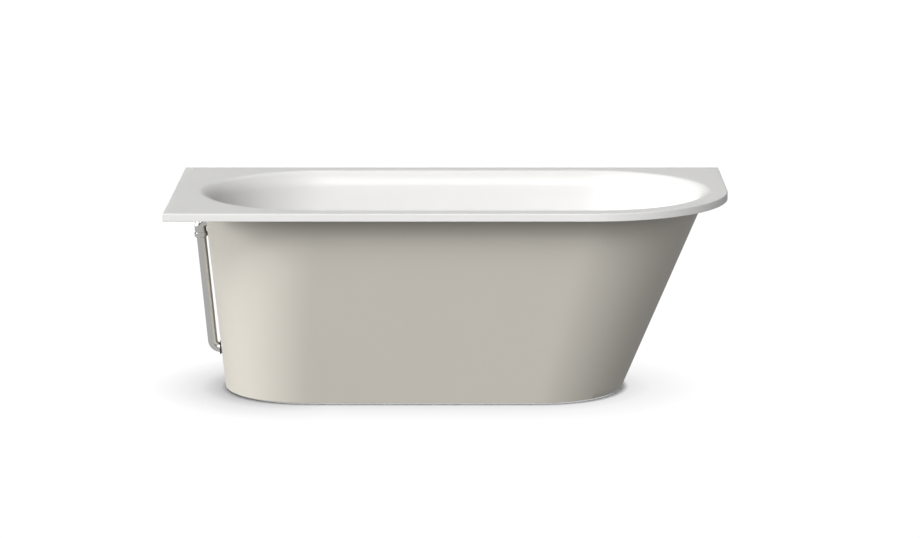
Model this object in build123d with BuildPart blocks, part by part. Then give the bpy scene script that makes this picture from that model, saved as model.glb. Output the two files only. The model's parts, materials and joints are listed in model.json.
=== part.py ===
from build123d import *

import os
from math import cos, radians, sin

# A back-to-wall corner bathtub in cast stone resin, standing on its own levelling feet.
# Millimetres. Origin on the floor, in the middle of the rim's outline; +X towards the
# backrest end, +Y towards the back wall, +Z up.

# Rim
length = 1600.0
width = 800.0
height = 580.0
rim_thickness = 22.5
corner_radius = 400.0
rim_edge_round = 2.5

# Bowl, inside faces: how far in from the rim's outline at the rim's level, before the lip is
# rounded, and how much further in at the bowl's floor
bowl_margin_left = 117.5
bowl_margin_right = 78.0
bowl_margin_side = 91.5
bowl_inset_left = 38.5
bowl_inset_right = 196.0
bowl_inset_side = 62.5
bowl_floor_z = 150.0
lip_radius = 50.0
floor_round = 90.0
floor_thickness = 12.0
bowl_wall = 12.0
haunch_depth = 80.0
underside_round = 80.0

# Apron, outside faces: how far in from the rim's outline below the rim, and how much further
# in at its foot
apron_margin_left = 85.0
apron_margin_right = 67.0
apron_margin_side = 66.0
apron_inset_left = 57.5
apron_inset_right = 234.5
apron_inset_side = 84.0
apron_wall = 8.0
apron_foot_gap = 4.0
bond_gap = 0.5

# Clearances
bush_gap = 0.1
seat_gap = 0.3
loose_gap = 0.5

# Steel frame under the bowl: how far in from the edge of the bowl's floor, and where its
# members, bolts and feet stand along the rails
rail_inset_left = 79.0
rail_inset_right = 121.0
rail_inset_side = 96.0
cross_offset = 140.0
cross_clear = 60.0
bolt_inset_left = 95.0
bolt_inset_right = 105.0
bolt_offset = 55.0
foot_inset_left = 35.0
foot_inset_right = 45.0
foot_offset = 5.0
rail_width = 40.0
rail_height = 25.0
tube_wall = 2.0
tube_corner = 4.0
cross_width = 25.0
boss_radius = 18.0
boss_height = 14.0
pad_thickness = 2.0
bolt_radius = 4.0
bolt_head_flats = 13.0
bolt_head_height = 5.3
bolt_engagement = 11.0
washer_radius = 9.0
washer_thickness = 1.6
insert_radius = 8.0
insert_length = 13.0

# Levelling feet
foot_travel = 20.0
spindle_radius = 6.0
spindle_spare = 2.0
socket_radius = 10.0
socket_height = 20.0
lock_nut_flats = 19.0
lock_nut_height = 6.0
collar_flats = 17.0
collar_height = 6.0
pad_radius = 25.0
pad_rim = 4.0
pad_hub_radius = 12.0
pad_height = 16.0
pin_radius = 4.0
pin_length = 9.0

# Waste in the bowl's floor
drain_inset = 174.0
flange_radius = 36.0
flange_thickness = 2.5
gasket_thickness = 1.5
tail_radius = 21.0
tail_bore = 18.0
tail_engagement = 12.0
waste_hole_radius = 25.0
lower_gasket_thickness = 2.0
chamber_radius = 27.0
chamber_wall = 3.0
collar_radius = 33.0
collar_thickness = 6.0
chamber_depth = 38.0
outlet_thread_radius = 24.0
outlet_thread_length = 14.0
outlet_bore = 18.0

# Click-clack plug
plug_travel = 8.0
cap_radius = 30.0
cap_thickness = 3.6
cap_round = 2.0
seal_radius = 24.0
seal_thickness = 2.0
stem_radius = 3.0
piston_radius = 6.0
piston_height = 4.0
cartridge_radius = 9.0
cartridge_length = 38.0
cartridge_floor = 2.0
cartridge_lid = 4.0
cartridge_below = 4.0
hub_wall = 3.0
spoke_width = 3.0
spoke_height = 6.0
spoke_below = 13.5
spring_radius = 4.6
spring_wire = 0.5
spring_turns = 5

# Overflow
overflow_drop = 91.0
overflow_hole_radius = 17.0
overflow_boss_radius = 28.0
overflow_recess = 3.15
overflow_wall = 17.0
cover_radius = 32.0
cover_depth = 9.5
cover_plate = 2.0
cover_wall = 2.5
cover_slot_width = 32.0
cover_slot_rise = 9.0
cover_slot_depth = 4.5
screw_radius = 2.5
screw_head_radius = 5.0
screw_head_height = 2.2
neck_radius = 15.0
neck_bore = 12.5
head_flange_radius = 23.0
head_flange_thickness = 3.0
head_gasket_thickness = 2.0
head_radius = 17.0
head_bend = 18.0
head_reach = 33.3
head_leg = 33.0
crossbar_height = 6.0
crossbar_thickness = 5.0
apron_overflow_hole = 26.0

# Overflow pipe and its compression joints
pipe_radius = 14.0
pipe_wall = 1.5
pipe_lean = 5.3
pipe_bend = 23.0
pipe_insert = 3.0
spigot_radius = 15.6
spigot_length = 8.6
joint_seal_thickness = 3.0
joint_nut_radius = 19.3
joint_nut_length = 14.3
joint_nut_chamfer = 3.6
inlet_reach = 44.0
inlet_drop = 22.0
inlet_radius = 18.0
grommet_wall = 3.2
grommet_collar = 2.2
grommet_lip = 3.0
grommet_clear = 2.5

# Trap and outlet
trap_radius = 20.0
trap_wall = 2.0
trap_bend_radius = 32.0
trap_spread = 66.0
trap_low_z = 30.0
trap_rise = 64.0
trap_exit_bend = 30.0
trap_flange_radius = 23.5
trap_flange_thickness = 3.0
trap_washer_thickness = 2.0
union_nut_radius = 29.0
union_nut_length = 20.0
union_nut_lip = 4.0
outlet_reach = 134.0
outlet_drop_x = 170.0
outlet_end_z = 8.0
outlet_socket_radius = 24.0
outlet_socket_length = 20.0
outlet_nut_radius = 28.5
outlet_nut_length = 18.0
outlet_nut_lip = 4.0
outlet_washer_thickness = 3.7
thread_gap = 0.2

# Places along and across the tub worked out from the sizes above
bowl_left = bowl_margin_left - length / 2
bowl_right = length / 2 - bowl_margin_right
bowl_radius = width / 2 - bowl_margin_side
bowl_floor_left = bowl_left + bowl_inset_left
bowl_floor_right = bowl_right - bowl_inset_right
bowl_floor_radius = bowl_radius - bowl_inset_side
apron_left = apron_margin_left - length / 2
apron_right = length / 2 - apron_margin_right
apron_radius = width / 2 - apron_margin_side
apron_foot_left = apron_left + apron_inset_left
apron_foot_right = apron_right - apron_inset_right
apron_foot_radius = apron_radius - apron_inset_side
drain_x = bowl_floor_left + drain_inset
elbow_x = drain_x + outlet_drop_x
rail_y = bowl_floor_radius - rail_inset_side
rail_left = bowl_floor_left + rail_inset_left
rail_right = bowl_floor_right - rail_inset_right
rail_middle = (rail_left + rail_right) / 2
bolt_xs = (rail_left + bolt_inset_left, rail_middle + bolt_offset, rail_right - bolt_inset_right)
foot_xs = (rail_left + foot_inset_left, rail_middle - foot_offset, rail_right - foot_inset_right)
cross_xs = (elbow_x + cross_clear, rail_middle + cross_offset, rail_right - foot_inset_right)

# Levels worked out from the sizes above
rim_under = height - rim_thickness
bowl_depth = height - bowl_floor_z
floor_top = bowl_floor_z
floor_under = floor_top - floor_thickness
boss_under = floor_under - boss_height
rail_top = boss_under - pad_thickness
rail_mid = rail_top - rail_height / 2
rail_under = rail_top - rail_height
socket_under = rail_under - socket_height
nut_under = socket_under - lock_nut_height
collar_top = pad_height + collar_height
spindle_top = rail_under + foot_travel + spindle_spare
flange_top = floor_top
flange_under = flange_top - flange_thickness
recess_z = flange_under - gasket_thickness
body_top = floor_under - lower_gasket_thickness
body_bore_end = body_top - tail_engagement
chamber_under = body_top - chamber_depth
drain_under = chamber_under - outlet_thread_length
seal_under = flange_top + seat_gap
cap_under = seal_under + seal_thickness
cartridge_top = flange_top - cartridge_below
cartridge_under = cartridge_top - cartridge_length
piston_low = cartridge_top - cartridge_lid - seat_gap - plug_travel - piston_height
spring_low = cartridge_under + cartridge_floor
pipe_leg_z = body_top - inlet_drop
trap_outlet_z = trap_low_z + trap_rise
overflow_z = height - overflow_drop
overflow_share = (overflow_z - floor_top) / bowl_depth
overflow_recess_x = bowl_floor_left - bowl_inset_left * overflow_share - overflow_recess
overflow_boss_x = overflow_recess_x - overflow_wall
head_corner_x = overflow_boss_x - head_reach
gasket_in_x = overflow_recess_x
cover_back_x = gasket_in_x + gasket_thickness
cover_front_x = cover_back_x + cover_depth
head_flange_x = overflow_boss_x - head_gasket_thickness
neck_end_x = overflow_recess_x - cover_wall

lean = radians(pipe_lean)
pipe_down = Vector(sin(lean), 0, -cos(lean))
head_corner = Vector(head_corner_x, 0, overflow_z)
top_shoulder = head_corner + pipe_down * head_leg
pipe_drop = (overflow_z - pipe_leg_z) / cos(lean)
pipe_corner = head_corner + pipe_down * pipe_drop
bottom_shoulder = Vector(drain_x - inlet_reach, 0, pipe_leg_z)
top_joint = Plane(origin=top_shoulder, x_dir=(0, 1, 0), z_dir=pipe_down)
bottom_joint = Plane(origin=bottom_shoulder, x_dir=(0, 1, 0), z_dir=(-1, 0, 0))

os.makedirs("parts", exist_ok=True)


def save(builder, name):
    """Label a finished piece and write its STEP file."""
    builder.part.label = name
    export_step(builder.part, "parts/" + name + ".step")


def stadium(left, right, radius):
    """A slot outline with round ends, lying along X, from left to right."""
    with Locations(((left + right) / 2, 0)):
        SlotCenterToCenter(right - left - 2 * radius, 2 * radius)


def level(z):
    """A horizontal plane at height z."""
    return Plane.XY.offset(z)


def upright(x):
    """A vertical plane at x, facing +X, with Y across and Z up."""
    return Plane.YZ.offset(x)


def between(low, high, fraction):
    """The value at a fraction of the way from low to high."""
    return low + (high - low) * fraction


# Basin: rim slab and bowl, cast in one
haunch_share = (bowl_depth - haunch_depth) / bowl_depth
haunch_left = between(bowl_floor_left, bowl_left, haunch_share) - bowl_wall
haunch_right = between(bowl_floor_right, bowl_right, haunch_share) + bowl_wall
haunch_radius = between(bowl_floor_radius, bowl_radius, haunch_share) + bowl_wall
seat_inset = apron_wall + bond_gap

with BuildPart() as hollow:
    with BuildSketch(level(floor_top)):
        stadium(bowl_floor_left, bowl_floor_right, bowl_floor_radius)
    with BuildSketch(level(height)):
        stadium(bowl_left, bowl_right, bowl_radius)
    loft(ruled=True)
    fillet(hollow.edges().group_by(Axis.Z)[0], floor_round)

with BuildPart() as basin:
    with BuildSketch(level(rim_under)):
        slab = Rectangle(length, width)
        front_right = slab.vertices().group_by(Axis.X)[-1].sort_by(Axis.Y)[0]
        fillet(front_right, corner_radius)
    extrude(amount=rim_thickness)
    with BuildSketch(level(floor_under)):
        stadium(
            bowl_floor_left - bowl_wall,
            bowl_floor_right + bowl_wall,
            bowl_floor_radius + bowl_wall,
        )
    with BuildSketch(level(height - haunch_depth)):
        stadium(haunch_left, haunch_right, haunch_radius)
    with BuildSketch(level(rim_under)):
        stadium(apron_left + seat_inset, apron_right - seat_inset, apron_radius - seat_inset)
    loft(ruled=True)
    fillet(basin.edges().group_by(Axis.Z)[0], underside_round)
    add(hollow.part, mode=Mode.SUBTRACT)
    lip_edge = basin.faces().sort_by(Axis.Z)[-1].inner_wires()[0].edges()
    fillet(lip_edge, lip_radius)
    rim_edge = basin.faces().sort_by(Axis.Z)[-1].outer_wire().edges()
    fillet(rim_edge, rim_edge_round)
    with BuildSketch(upright(overflow_boss_x)):
        with Locations((0, overflow_z)):
            Circle(overflow_boss_radius)
    extrude(amount=bowl_wall)
    with BuildSketch(level(boss_under)):
        for x in bolt_xs:
            with Locations((x, -rail_y), (x, rail_y)):
                Circle(boss_radius)
    extrude(amount=boss_height)
    with BuildSketch(level(boss_under)):
        for x in bolt_xs:
            with Locations((x, -rail_y), (x, rail_y)):
                Circle(insert_radius + bush_gap)
    extrude(amount=insert_length + seat_gap, mode=Mode.SUBTRACT)
    with BuildSketch(level(recess_z)):
        with Locations((drain_x, 0)):
            Circle(flange_radius + loose_gap)
    extrude(amount=floor_thickness, mode=Mode.SUBTRACT)
    with BuildSketch(level(floor_under)):
        with Locations((drain_x, 0)):
            Circle(waste_hole_radius)
    extrude(amount=floor_thickness, mode=Mode.SUBTRACT)
    with BuildSketch(upright(overflow_recess_x)):
        with Locations((0, overflow_z)):
            Circle(cover_radius + loose_gap)
    extrude(amount=cover_depth, mode=Mode.SUBTRACT)
    with BuildSketch(upright(overflow_boss_x)):
        with Locations((0, overflow_z)):
            Circle(overflow_hole_radius)
    extrude(amount=overflow_recess_x - overflow_boss_x, mode=Mode.SUBTRACT)
save(basin, "basin")

# Apron: one shell from the rim's underside nearly down to the floor
with BuildPart() as apron:
    with BuildSketch(level(apron_foot_gap)):
        stadium(apron_foot_left, apron_foot_right, apron_foot_radius)
    with BuildSketch(level(rim_under)):
        stadium(apron_left, apron_right, apron_radius)
    loft(ruled=True)
    with BuildSketch(level(apron_foot_gap)):
        stadium(
            apron_foot_left + apron_wall,
            apron_foot_right - apron_wall,
            apron_foot_radius - apron_wall,
        )
    with BuildSketch(level(rim_under)):
        stadium(apron_left + apron_wall, apron_right - apron_wall, apron_radius - apron_wall)
    loft(ruled=True, mode=Mode.SUBTRACT)
    with BuildSketch(upright(apron_left)):
        with Locations((0, overflow_z)):
            Circle(apron_overflow_hole)
        with Locations((0, pipe_leg_z)):
            Circle(pipe_radius + grommet_wall + bush_gap)
    extrude(amount=apron_foot_left + 2 * apron_wall - apron_left, mode=Mode.SUBTRACT)
save(apron, "apron")


# Steel frame: two rails with three cross members between them
def bolt_places(side):
    """Where the bolts of one rail go."""
    return [(x, side * rail_y) for x in bolt_xs]


def foot_places(side):
    """Where the feet of one rail go."""
    return [(x, side * rail_y) for x in foot_xs]


all_bolts = bolt_places(-1) + bolt_places(1)
all_feet = foot_places(-1) + foot_places(1)

for name, side in (("rail_front", -1), ("rail_rear", 1)):
    with BuildPart() as rail:
        with BuildSketch(upright(rail_left)):
            with Locations((side * rail_y, rail_mid)):
                RectangleRounded(rail_width, rail_height, tube_corner)
                RectangleRounded(
                    rail_width - 2 * tube_wall,
                    rail_height - 2 * tube_wall,
                    tube_corner - tube_wall,
                    mode=Mode.SUBTRACT,
                )
        extrude(amount=rail_right - rail_left)
        with BuildSketch(level(rail_under)):
            with Locations(*bolt_places(side)):
                Circle(bolt_radius + loose_gap)
        extrude(amount=rail_height, mode=Mode.SUBTRACT)
        with BuildSketch(level(rail_under)):
            with Locations(*foot_places(side)):
                Circle(spindle_radius + loose_gap)
        extrude(amount=tube_wall, mode=Mode.SUBTRACT)
    save(rail, name)

cross_span = 2 * rail_y - rail_width
for number, x in enumerate(cross_xs, start=1):
    with BuildPart() as cross_member:
        with BuildSketch(Plane.XZ.offset(-cross_span / 2)):
            with Locations((x, rail_mid)):
                RectangleRounded(cross_width, rail_height, tube_corner)
                RectangleRounded(
                    cross_width - 2 * tube_wall,
                    rail_height - 2 * tube_wall,
                    tube_corner - tube_wall,
                    mode=Mode.SUBTRACT,
                )
        extrude(amount=cross_span)
    save(cross_member, f"cross_member_{number}")

with BuildPart() as frame_pads:
    with BuildSketch(level(rail_top)):
        with Locations(*all_bolts):
            Circle(boss_radius)
            Circle(bolt_radius + loose_gap, mode=Mode.SUBTRACT)
    extrude(amount=pad_thickness)
save(frame_pads, "frame_pads")

with BuildPart() as frame_inserts:
    with BuildSketch(level(boss_under)):
        with Locations(*all_bolts):
            Circle(insert_radius)
    extrude(amount=insert_length)
    with BuildSketch(level(boss_under)):
        with Locations(*all_bolts):
            Circle(bolt_radius + bush_gap)
    extrude(amount=bolt_engagement + seat_gap, mode=Mode.SUBTRACT)
save(frame_inserts, "frame_inserts")

with BuildPart() as frame_washers:
    with BuildSketch(level(rail_under - washer_thickness)):
        with Locations(*all_bolts):
            Circle(washer_radius)
            Circle(bolt_radius + bush_gap, mode=Mode.SUBTRACT)
    extrude(amount=washer_thickness)
save(frame_washers, "frame_washers")

with BuildPart() as frame_bolts:
    with BuildSketch(level(rail_under - washer_thickness - bolt_head_height)):
        with Locations(*all_bolts):
            RegularPolygon(bolt_head_flats / 2, 6, major_radius=False)
    extrude(amount=bolt_head_height)
    with BuildSketch(level(rail_under - washer_thickness)):
        with Locations(*all_bolts):
            Circle(bolt_radius)
    extrude(amount=washer_thickness + boss_under - rail_under + bolt_engagement)
save(frame_bolts, "frame_bolts")

# Levelling feet: threaded sockets and lock nuts on the frame, six screwed spindles with pads
with BuildPart() as foot_sockets:
    with BuildSketch(level(socket_under)):
        with Locations(*all_feet):
            Circle(socket_radius)
            Circle(spindle_radius + bush_gap, mode=Mode.SUBTRACT)
    extrude(amount=socket_height)
save(foot_sockets, "foot_sockets")

with BuildPart() as foot_lock_nuts:
    with BuildSketch(level(nut_under)):
        with Locations(*all_feet):
            RegularPolygon(lock_nut_flats / 2, 6, major_radius=False)
            Circle(spindle_radius + bush_gap, mode=Mode.SUBTRACT)
    extrude(amount=lock_nut_height)
save(foot_lock_nuts, "foot_lock_nuts")

for number, place in enumerate(all_feet, start=1):
    with BuildPart() as foot_spindle:
        with BuildSketch(level(collar_top)):
            with Locations(place):
                Circle(spindle_radius)
        extrude(amount=spindle_top - collar_top)
        with BuildSketch(level(pad_height)):
            with Locations(place):
                RegularPolygon(collar_flats / 2, 6, major_radius=False)
        extrude(amount=collar_height)
        with BuildSketch(level(pad_height - pin_length)):
            with Locations(place):
                Circle(pin_radius)
        extrude(amount=pin_length)
    save(foot_spindle, f"foot_spindle_{number}")

    with BuildPart() as foot_pad:
        with BuildSketch(Plane(origin=(place[0], place[1], 0), x_dir=(1, 0, 0), z_dir=(0, -1, 0))):
            with BuildLine():
                Polyline(
                    (0, 0),
                    (pad_radius, 0),
                    (pad_radius, pad_rim),
                    (pad_hub_radius, pad_height - pad_rim),
                    (pad_hub_radius, pad_height),
                    (0, pad_height),
                    close=True,
                )
            make_face()
        revolve(axis=Axis((place[0], place[1], 0), (0, 0, 1)))
        with BuildSketch(level(pad_height)):
            with Locations(place):
                Circle(pin_radius + bush_gap)
        extrude(amount=-pin_length - seat_gap, mode=Mode.SUBTRACT)
    save(foot_pad, f"foot_pad_{number}")


# Waste: a flange screwed down into the drain body, with the bowl's floor clamped between
def ring(z, outer, inner, rise):
    """A flat ring about the drain's axis, from z up by rise."""
    with BuildSketch(level(z)) as flat:
        with Locations((drain_x, 0)):
            Circle(outer)
            Circle(inner, mode=Mode.SUBTRACT)
    extrude(flat.sketch, amount=rise)


with BuildPart() as drain_flange:
    ring(flange_under, flange_radius, tail_bore, flange_thickness)
    ring(body_bore_end, tail_radius, tail_bore, flange_under - body_bore_end)
    rim = drain_flange.faces().sort_by(Axis.Z)[-1].edges().sort_by(SortBy.LENGTH)[-1]
    chamfer(rim, flange_thickness / 2)
    spoke_z = flange_top - spoke_below
    with BuildSketch(level(spoke_z)):
        with Locations((drain_x, 0)):
            Rectangle(tail_bore + tail_radius, spoke_width)
            Rectangle(spoke_width, tail_bore + tail_radius)
            Circle(cartridge_radius + bush_gap + hub_wall)
            Circle(cartridge_radius + bush_gap, mode=Mode.SUBTRACT)
    extrude(amount=-spoke_height)
save(drain_flange, "drain_flange")

with BuildPart() as drain_gasket_upper:
    ring(recess_z, flange_radius, waste_hole_radius, gasket_thickness)
save(drain_gasket_upper, "drain_gasket_upper")

with BuildPart() as drain_gasket_lower:
    ring(body_top, collar_radius, waste_hole_radius, lower_gasket_thickness)
save(drain_gasket_lower, "drain_gasket_lower")

chamber_bore = chamber_radius - chamber_wall
with BuildPart() as drain_body:
    ring(body_top - collar_thickness, collar_radius, tail_radius, collar_thickness)
    ring(chamber_under, chamber_radius, tail_radius, chamber_depth - collar_thickness)
    ring(drain_under, outlet_thread_radius, outlet_bore, outlet_thread_length)
    with BuildSketch(bottom_joint):
        Circle(inlet_radius)
    extrude(amount=-(inlet_reach - chamber_bore))
    with BuildSketch(bottom_joint):
        Circle(spigot_radius)
    extrude(amount=spigot_length)
    with BuildSketch(level(chamber_under + chamber_wall)):
        with Locations((drain_x, 0)):
            Circle(chamber_bore)
    extrude(amount=body_bore_end - chamber_under - 2 * chamber_wall, mode=Mode.SUBTRACT)
    with BuildSketch(level(chamber_under)):
        with Locations((drain_x, 0)):
            Circle(outlet_bore)
    extrude(amount=chamber_depth, mode=Mode.SUBTRACT)
    with BuildSketch(level(body_bore_end - chamber_wall)):
        with Locations((drain_x, 0)):
            Circle(tail_radius + bush_gap)
    extrude(amount=tail_engagement + chamber_wall, mode=Mode.SUBTRACT)
    with BuildSketch(bottom_joint.offset(spigot_length)):
        Circle(neck_bore)
    extrude(amount=-(inlet_reach + spigot_length - outlet_bore), mode=Mode.SUBTRACT)
    with BuildSketch(bottom_joint.offset(spigot_length)):
        Circle(pipe_radius + bush_gap)
    extrude(amount=-(spigot_length + pipe_insert + seat_gap), mode=Mode.SUBTRACT)
save(drain_body, "drain_body")

# Click-clack plug, modelled closed; it lifts to open
with BuildPart() as plug_cap:
    with BuildSketch(level(cap_under)):
        with Locations((drain_x, 0)):
            Circle(cap_radius)
    extrude(amount=cap_thickness)
    fillet(plug_cap.edges().group_by(Axis.Z)[-1], cap_round)
    with BuildSketch(level(cap_under)):
        with Locations((drain_x, 0)):
            Circle(stem_radius + bush_gap)
    extrude(amount=cap_thickness / 2, mode=Mode.SUBTRACT)
save(plug_cap, "plug_cap")

with BuildPart() as plug_seal:
    ring(seal_under, seal_radius, stem_radius + bush_gap, seal_thickness)
save(plug_seal, "plug_seal")

with BuildPart() as plug_stem:
    with BuildSketch(level(piston_low)):
        with Locations((drain_x, 0)):
            Circle(stem_radius)
    extrude(amount=cap_under + cap_thickness / 2 - seat_gap - piston_low)
    with BuildSketch(level(piston_low)):
        with Locations((drain_x, 0)):
            Circle(piston_radius)
    extrude(amount=piston_height)
save(plug_stem, "plug_stem")

with BuildPart() as plug_cartridge:
    with BuildSketch(level(cartridge_under)):
        with Locations((drain_x, 0)):
            Circle(cartridge_radius)
    extrude(amount=cartridge_length)
    with BuildSketch(level(spring_low)):
        with Locations((drain_x, 0)):
            Circle(piston_radius + bush_gap)
    extrude(amount=cartridge_length - cartridge_floor - cartridge_lid, mode=Mode.SUBTRACT)
    with BuildSketch(level(cartridge_top - cartridge_lid)):
        with Locations((drain_x, 0)):
            Circle(stem_radius + bush_gap)
    extrude(amount=cartridge_lid, mode=Mode.SUBTRACT)
save(plug_cartridge, "plug_cartridge")

spring_height = piston_low - spring_low - 2 * (spring_wire + seat_gap)
with BuildPart() as plug_spring:
    with BuildLine():
        coil = Helix(
            pitch=spring_height / spring_turns,
            height=spring_height,
            radius=spring_radius,
            center=(drain_x, 0, spring_low + spring_wire + seat_gap),
        )
    with BuildSketch(Plane(origin=coil @ 0, z_dir=coil % 0)):
        Circle(spring_wire)
    sweep()
save(plug_spring, "plug_spring")


# Overflow fitting: cover inside, elbow head outside, the bowl's wall clamped between
def across(x, outer, inner, reach):
    """A flat ring about the overflow's axis, from x towards the bowl by reach."""
    with BuildSketch(upright(x)) as flat:
        with Locations((0, overflow_z)):
            Circle(outer)
            Circle(inner, mode=Mode.SUBTRACT)
    extrude(flat.sketch, amount=reach)


with BuildPart() as overflow_gasket_inner:
    across(gasket_in_x, cover_radius, overflow_hole_radius, gasket_thickness)
save(overflow_gasket_inner, "overflow_gasket_inner")

with BuildPart() as overflow_gasket_outer:
    across(head_flange_x, head_flange_radius, overflow_hole_radius, head_gasket_thickness)
save(overflow_gasket_outer, "overflow_gasket_outer")

with BuildPart() as overflow_cover:
    across(cover_back_x, cover_radius, cover_radius - cover_wall, cover_depth)
    across(cover_front_x - cover_plate, cover_radius, screw_radius + bush_gap, cover_plate)
    fillet(overflow_cover.edges().group_by(Axis.X)[-1].sort_by(SortBy.LENGTH)[-1], cover_plate / 2)
    with BuildSketch(upright(cover_back_x + cover_plate)):
        with Locations((0, overflow_z - cover_radius)):
            Rectangle(cover_slot_width, 2 * cover_slot_rise)
    extrude(amount=cover_slot_depth, mode=Mode.SUBTRACT)
save(overflow_cover, "overflow_cover")

crossbar_x = overflow_recess_x - cover_depth
with BuildPart() as overflow_screw:
    with BuildSketch(upright(crossbar_x - crossbar_thickness)):
        with Locations((0, overflow_z)):
            Circle(screw_radius)
    extrude(amount=cover_front_x - crossbar_x + crossbar_thickness)
    with BuildSketch(upright(cover_front_x)):
        with Locations((0, overflow_z)):
            Circle(screw_head_radius)
    extrude(amount=screw_head_height)
    fillet(overflow_screw.edges().group_by(Axis.X)[-1], screw_head_height / 2)
save(overflow_screw, "overflow_screw")

with BuildPart() as overflow_head:
    with BuildLine(Plane.XZ):
        outer_path = FilletPolyline(
            (head_flange_x, overflow_z),
            (head_corner.X, head_corner.Z),
            (top_shoulder.X, top_shoulder.Z),
            radius=head_bend,
        )
    with BuildSketch(Plane(origin=outer_path @ 0, x_dir=(0, 1, 0), z_dir=outer_path % 0)):
        Circle(neck_radius)
    sweep(path=outer_path.edges()[0])
    with BuildSketch(Plane(origin=outer_path.edges()[0] @ 1, x_dir=(0, 1, 0), z_dir=(-1, 0, 0))):
        Circle(head_radius)
    sweep(path=Wire(outer_path.edges()[1:]))
    with BuildSketch(top_joint):
        Circle(spigot_radius)
    extrude(amount=spigot_length)
    across(head_flange_x - head_flange_thickness, head_flange_radius, neck_bore, head_flange_thickness)
    across(head_flange_x - head_flange_thickness, neck_radius, neck_bore, neck_end_x - head_flange_x)
    with BuildLine(Plane.XZ):
        bore_path = FilletPolyline(
            (neck_end_x, overflow_z),
            (head_corner.X, head_corner.Z),
            (top_shoulder.X, top_shoulder.Z),
            radius=head_bend,
        )
    with BuildSketch(Plane(origin=bore_path @ 0, x_dir=(0, 1, 0), z_dir=bore_path % 0)):
        Circle(neck_bore)
    sweep(path=bore_path, mode=Mode.SUBTRACT)
    with BuildSketch(top_joint.offset(spigot_length)):
        Circle(pipe_radius + bush_gap)
    extrude(amount=-(spigot_length + pipe_insert + seat_gap), mode=Mode.SUBTRACT)
    with BuildSketch(upright(crossbar_x - crossbar_thickness)):
        with Locations((0, overflow_z)):
            Rectangle(neck_bore + neck_radius, crossbar_height)
            Circle(screw_radius + bush_gap, mode=Mode.SUBTRACT)
    extrude(amount=crossbar_thickness)
save(overflow_head, "overflow_head")

# Overflow pipe, and the nut and seal at each of its ends
with BuildPart() as overflow_pipe:
    pipe_start = top_shoulder - pipe_down * pipe_insert
    with BuildLine(Plane.XZ):
        pipe_path = FilletPolyline(
            (pipe_start.X, pipe_start.Z),
            (pipe_corner.X, pipe_corner.Z),
            (bottom_shoulder.X + pipe_insert, bottom_shoulder.Z),
            radius=pipe_bend,
        )
    with BuildSketch(Plane(origin=pipe_path @ 0, x_dir=(0, 1, 0), z_dir=pipe_path % 0)):
        Circle(pipe_radius)
        Circle(pipe_radius - pipe_wall, mode=Mode.SUBTRACT)
    sweep(path=pipe_path)
save(overflow_pipe, "overflow_pipe")

nut_lip = joint_nut_length + seat_gap - spigot_length - joint_seal_thickness - thread_gap
for name, joint in (("top", top_joint), ("bottom", bottom_joint)):
    with BuildPart() as joint_nut:
        with BuildSketch(joint.offset(seat_gap)):
            Circle(joint_nut_radius)
        extrude(amount=joint_nut_length)
        lip_faces = joint_nut.faces().filter_by(GeomType.PLANE)
        lip_face = lip_faces.sort_by_distance(joint.origin)[-1]
        chamfer(lip_face.edges(), joint_nut_chamfer)
        with BuildSketch(joint.offset(seat_gap)):
            Circle(spigot_radius + bush_gap)
        extrude(amount=joint_nut_length - nut_lip, mode=Mode.SUBTRACT)
        with BuildSketch(joint.offset(seat_gap)):
            Circle(pipe_radius + thread_gap)
        extrude(amount=joint_nut_length, mode=Mode.SUBTRACT)
    save(joint_nut, f"overflow_{name}_nut")

    with BuildPart() as joint_seal:
        with BuildSketch(joint.offset(spigot_length)):
            Circle(spigot_radius - bush_gap)
            Circle(pipe_radius + bush_gap, mode=Mode.SUBTRACT)
        extrude(amount=joint_seal_thickness)
    save(joint_seal, f"overflow_{name}_seal")


# Grommet where the pipe enters the apron, with a collar on each side of the shell
def apron_left_at(z):
    """Where the apron's outside face stands, at its left end, at height z."""
    share = (z - apron_foot_gap) / (rim_under - apron_foot_gap)
    return between(apron_foot_left, apron_left, share)


grommet_outer = pipe_radius + grommet_wall
grommet_edge = grommet_outer + grommet_lip
outer_collar_x = apron_left_at(pipe_leg_z + grommet_edge) - grommet_collar - seat_gap
inner_collar_x = apron_left_at(pipe_leg_z - grommet_edge) + apron_wall + grommet_clear
with BuildPart() as pipe_grommet:
    for x, reach, outer in (
        (outer_collar_x, grommet_collar, grommet_edge),
        (outer_collar_x, inner_collar_x - outer_collar_x, grommet_outer),
        (inner_collar_x, grommet_collar, grommet_edge),
    ):
        with BuildSketch(upright(x)):
            with Locations((0, pipe_leg_z)):
                Circle(outer)
                Circle(pipe_radius + thread_gap, mode=Mode.SUBTRACT)
        extrude(amount=reach)
save(pipe_grommet, "pipe_grommet")

# Trap under the drain, and the outlet that turns down to the floor waste
trap_top = drain_under - trap_washer_thickness
trap_far_x = drain_x + trap_spread
trap_end_x = drain_x + outlet_reach
trap_bore = trap_radius - trap_wall

with BuildPart() as trap_washer:
    ring(trap_top, trap_flange_radius, outlet_bore, trap_washer_thickness)
save(trap_washer, "trap_washer")

with BuildPart() as trap_bend:
    with BuildLine(Plane.XZ):
        trap_path = FilletPolyline(
            (drain_x, trap_top),
            (drain_x, trap_low_z),
            (trap_far_x, trap_low_z),
            (trap_far_x, trap_outlet_z),
            (trap_end_x, trap_outlet_z),
            radius=(trap_bend_radius, trap_bend_radius, trap_exit_bend),
        )
    with BuildSketch(Plane(origin=trap_path @ 0, x_dir=(0, 1, 0), z_dir=trap_path % 0)):
        Circle(trap_radius)
        Circle(trap_bore, mode=Mode.SUBTRACT)
    sweep(path=trap_path)
    ring(trap_top - trap_flange_thickness, trap_flange_radius, trap_bore, trap_flange_thickness)
save(trap_bend, "trap_bend")

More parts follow.
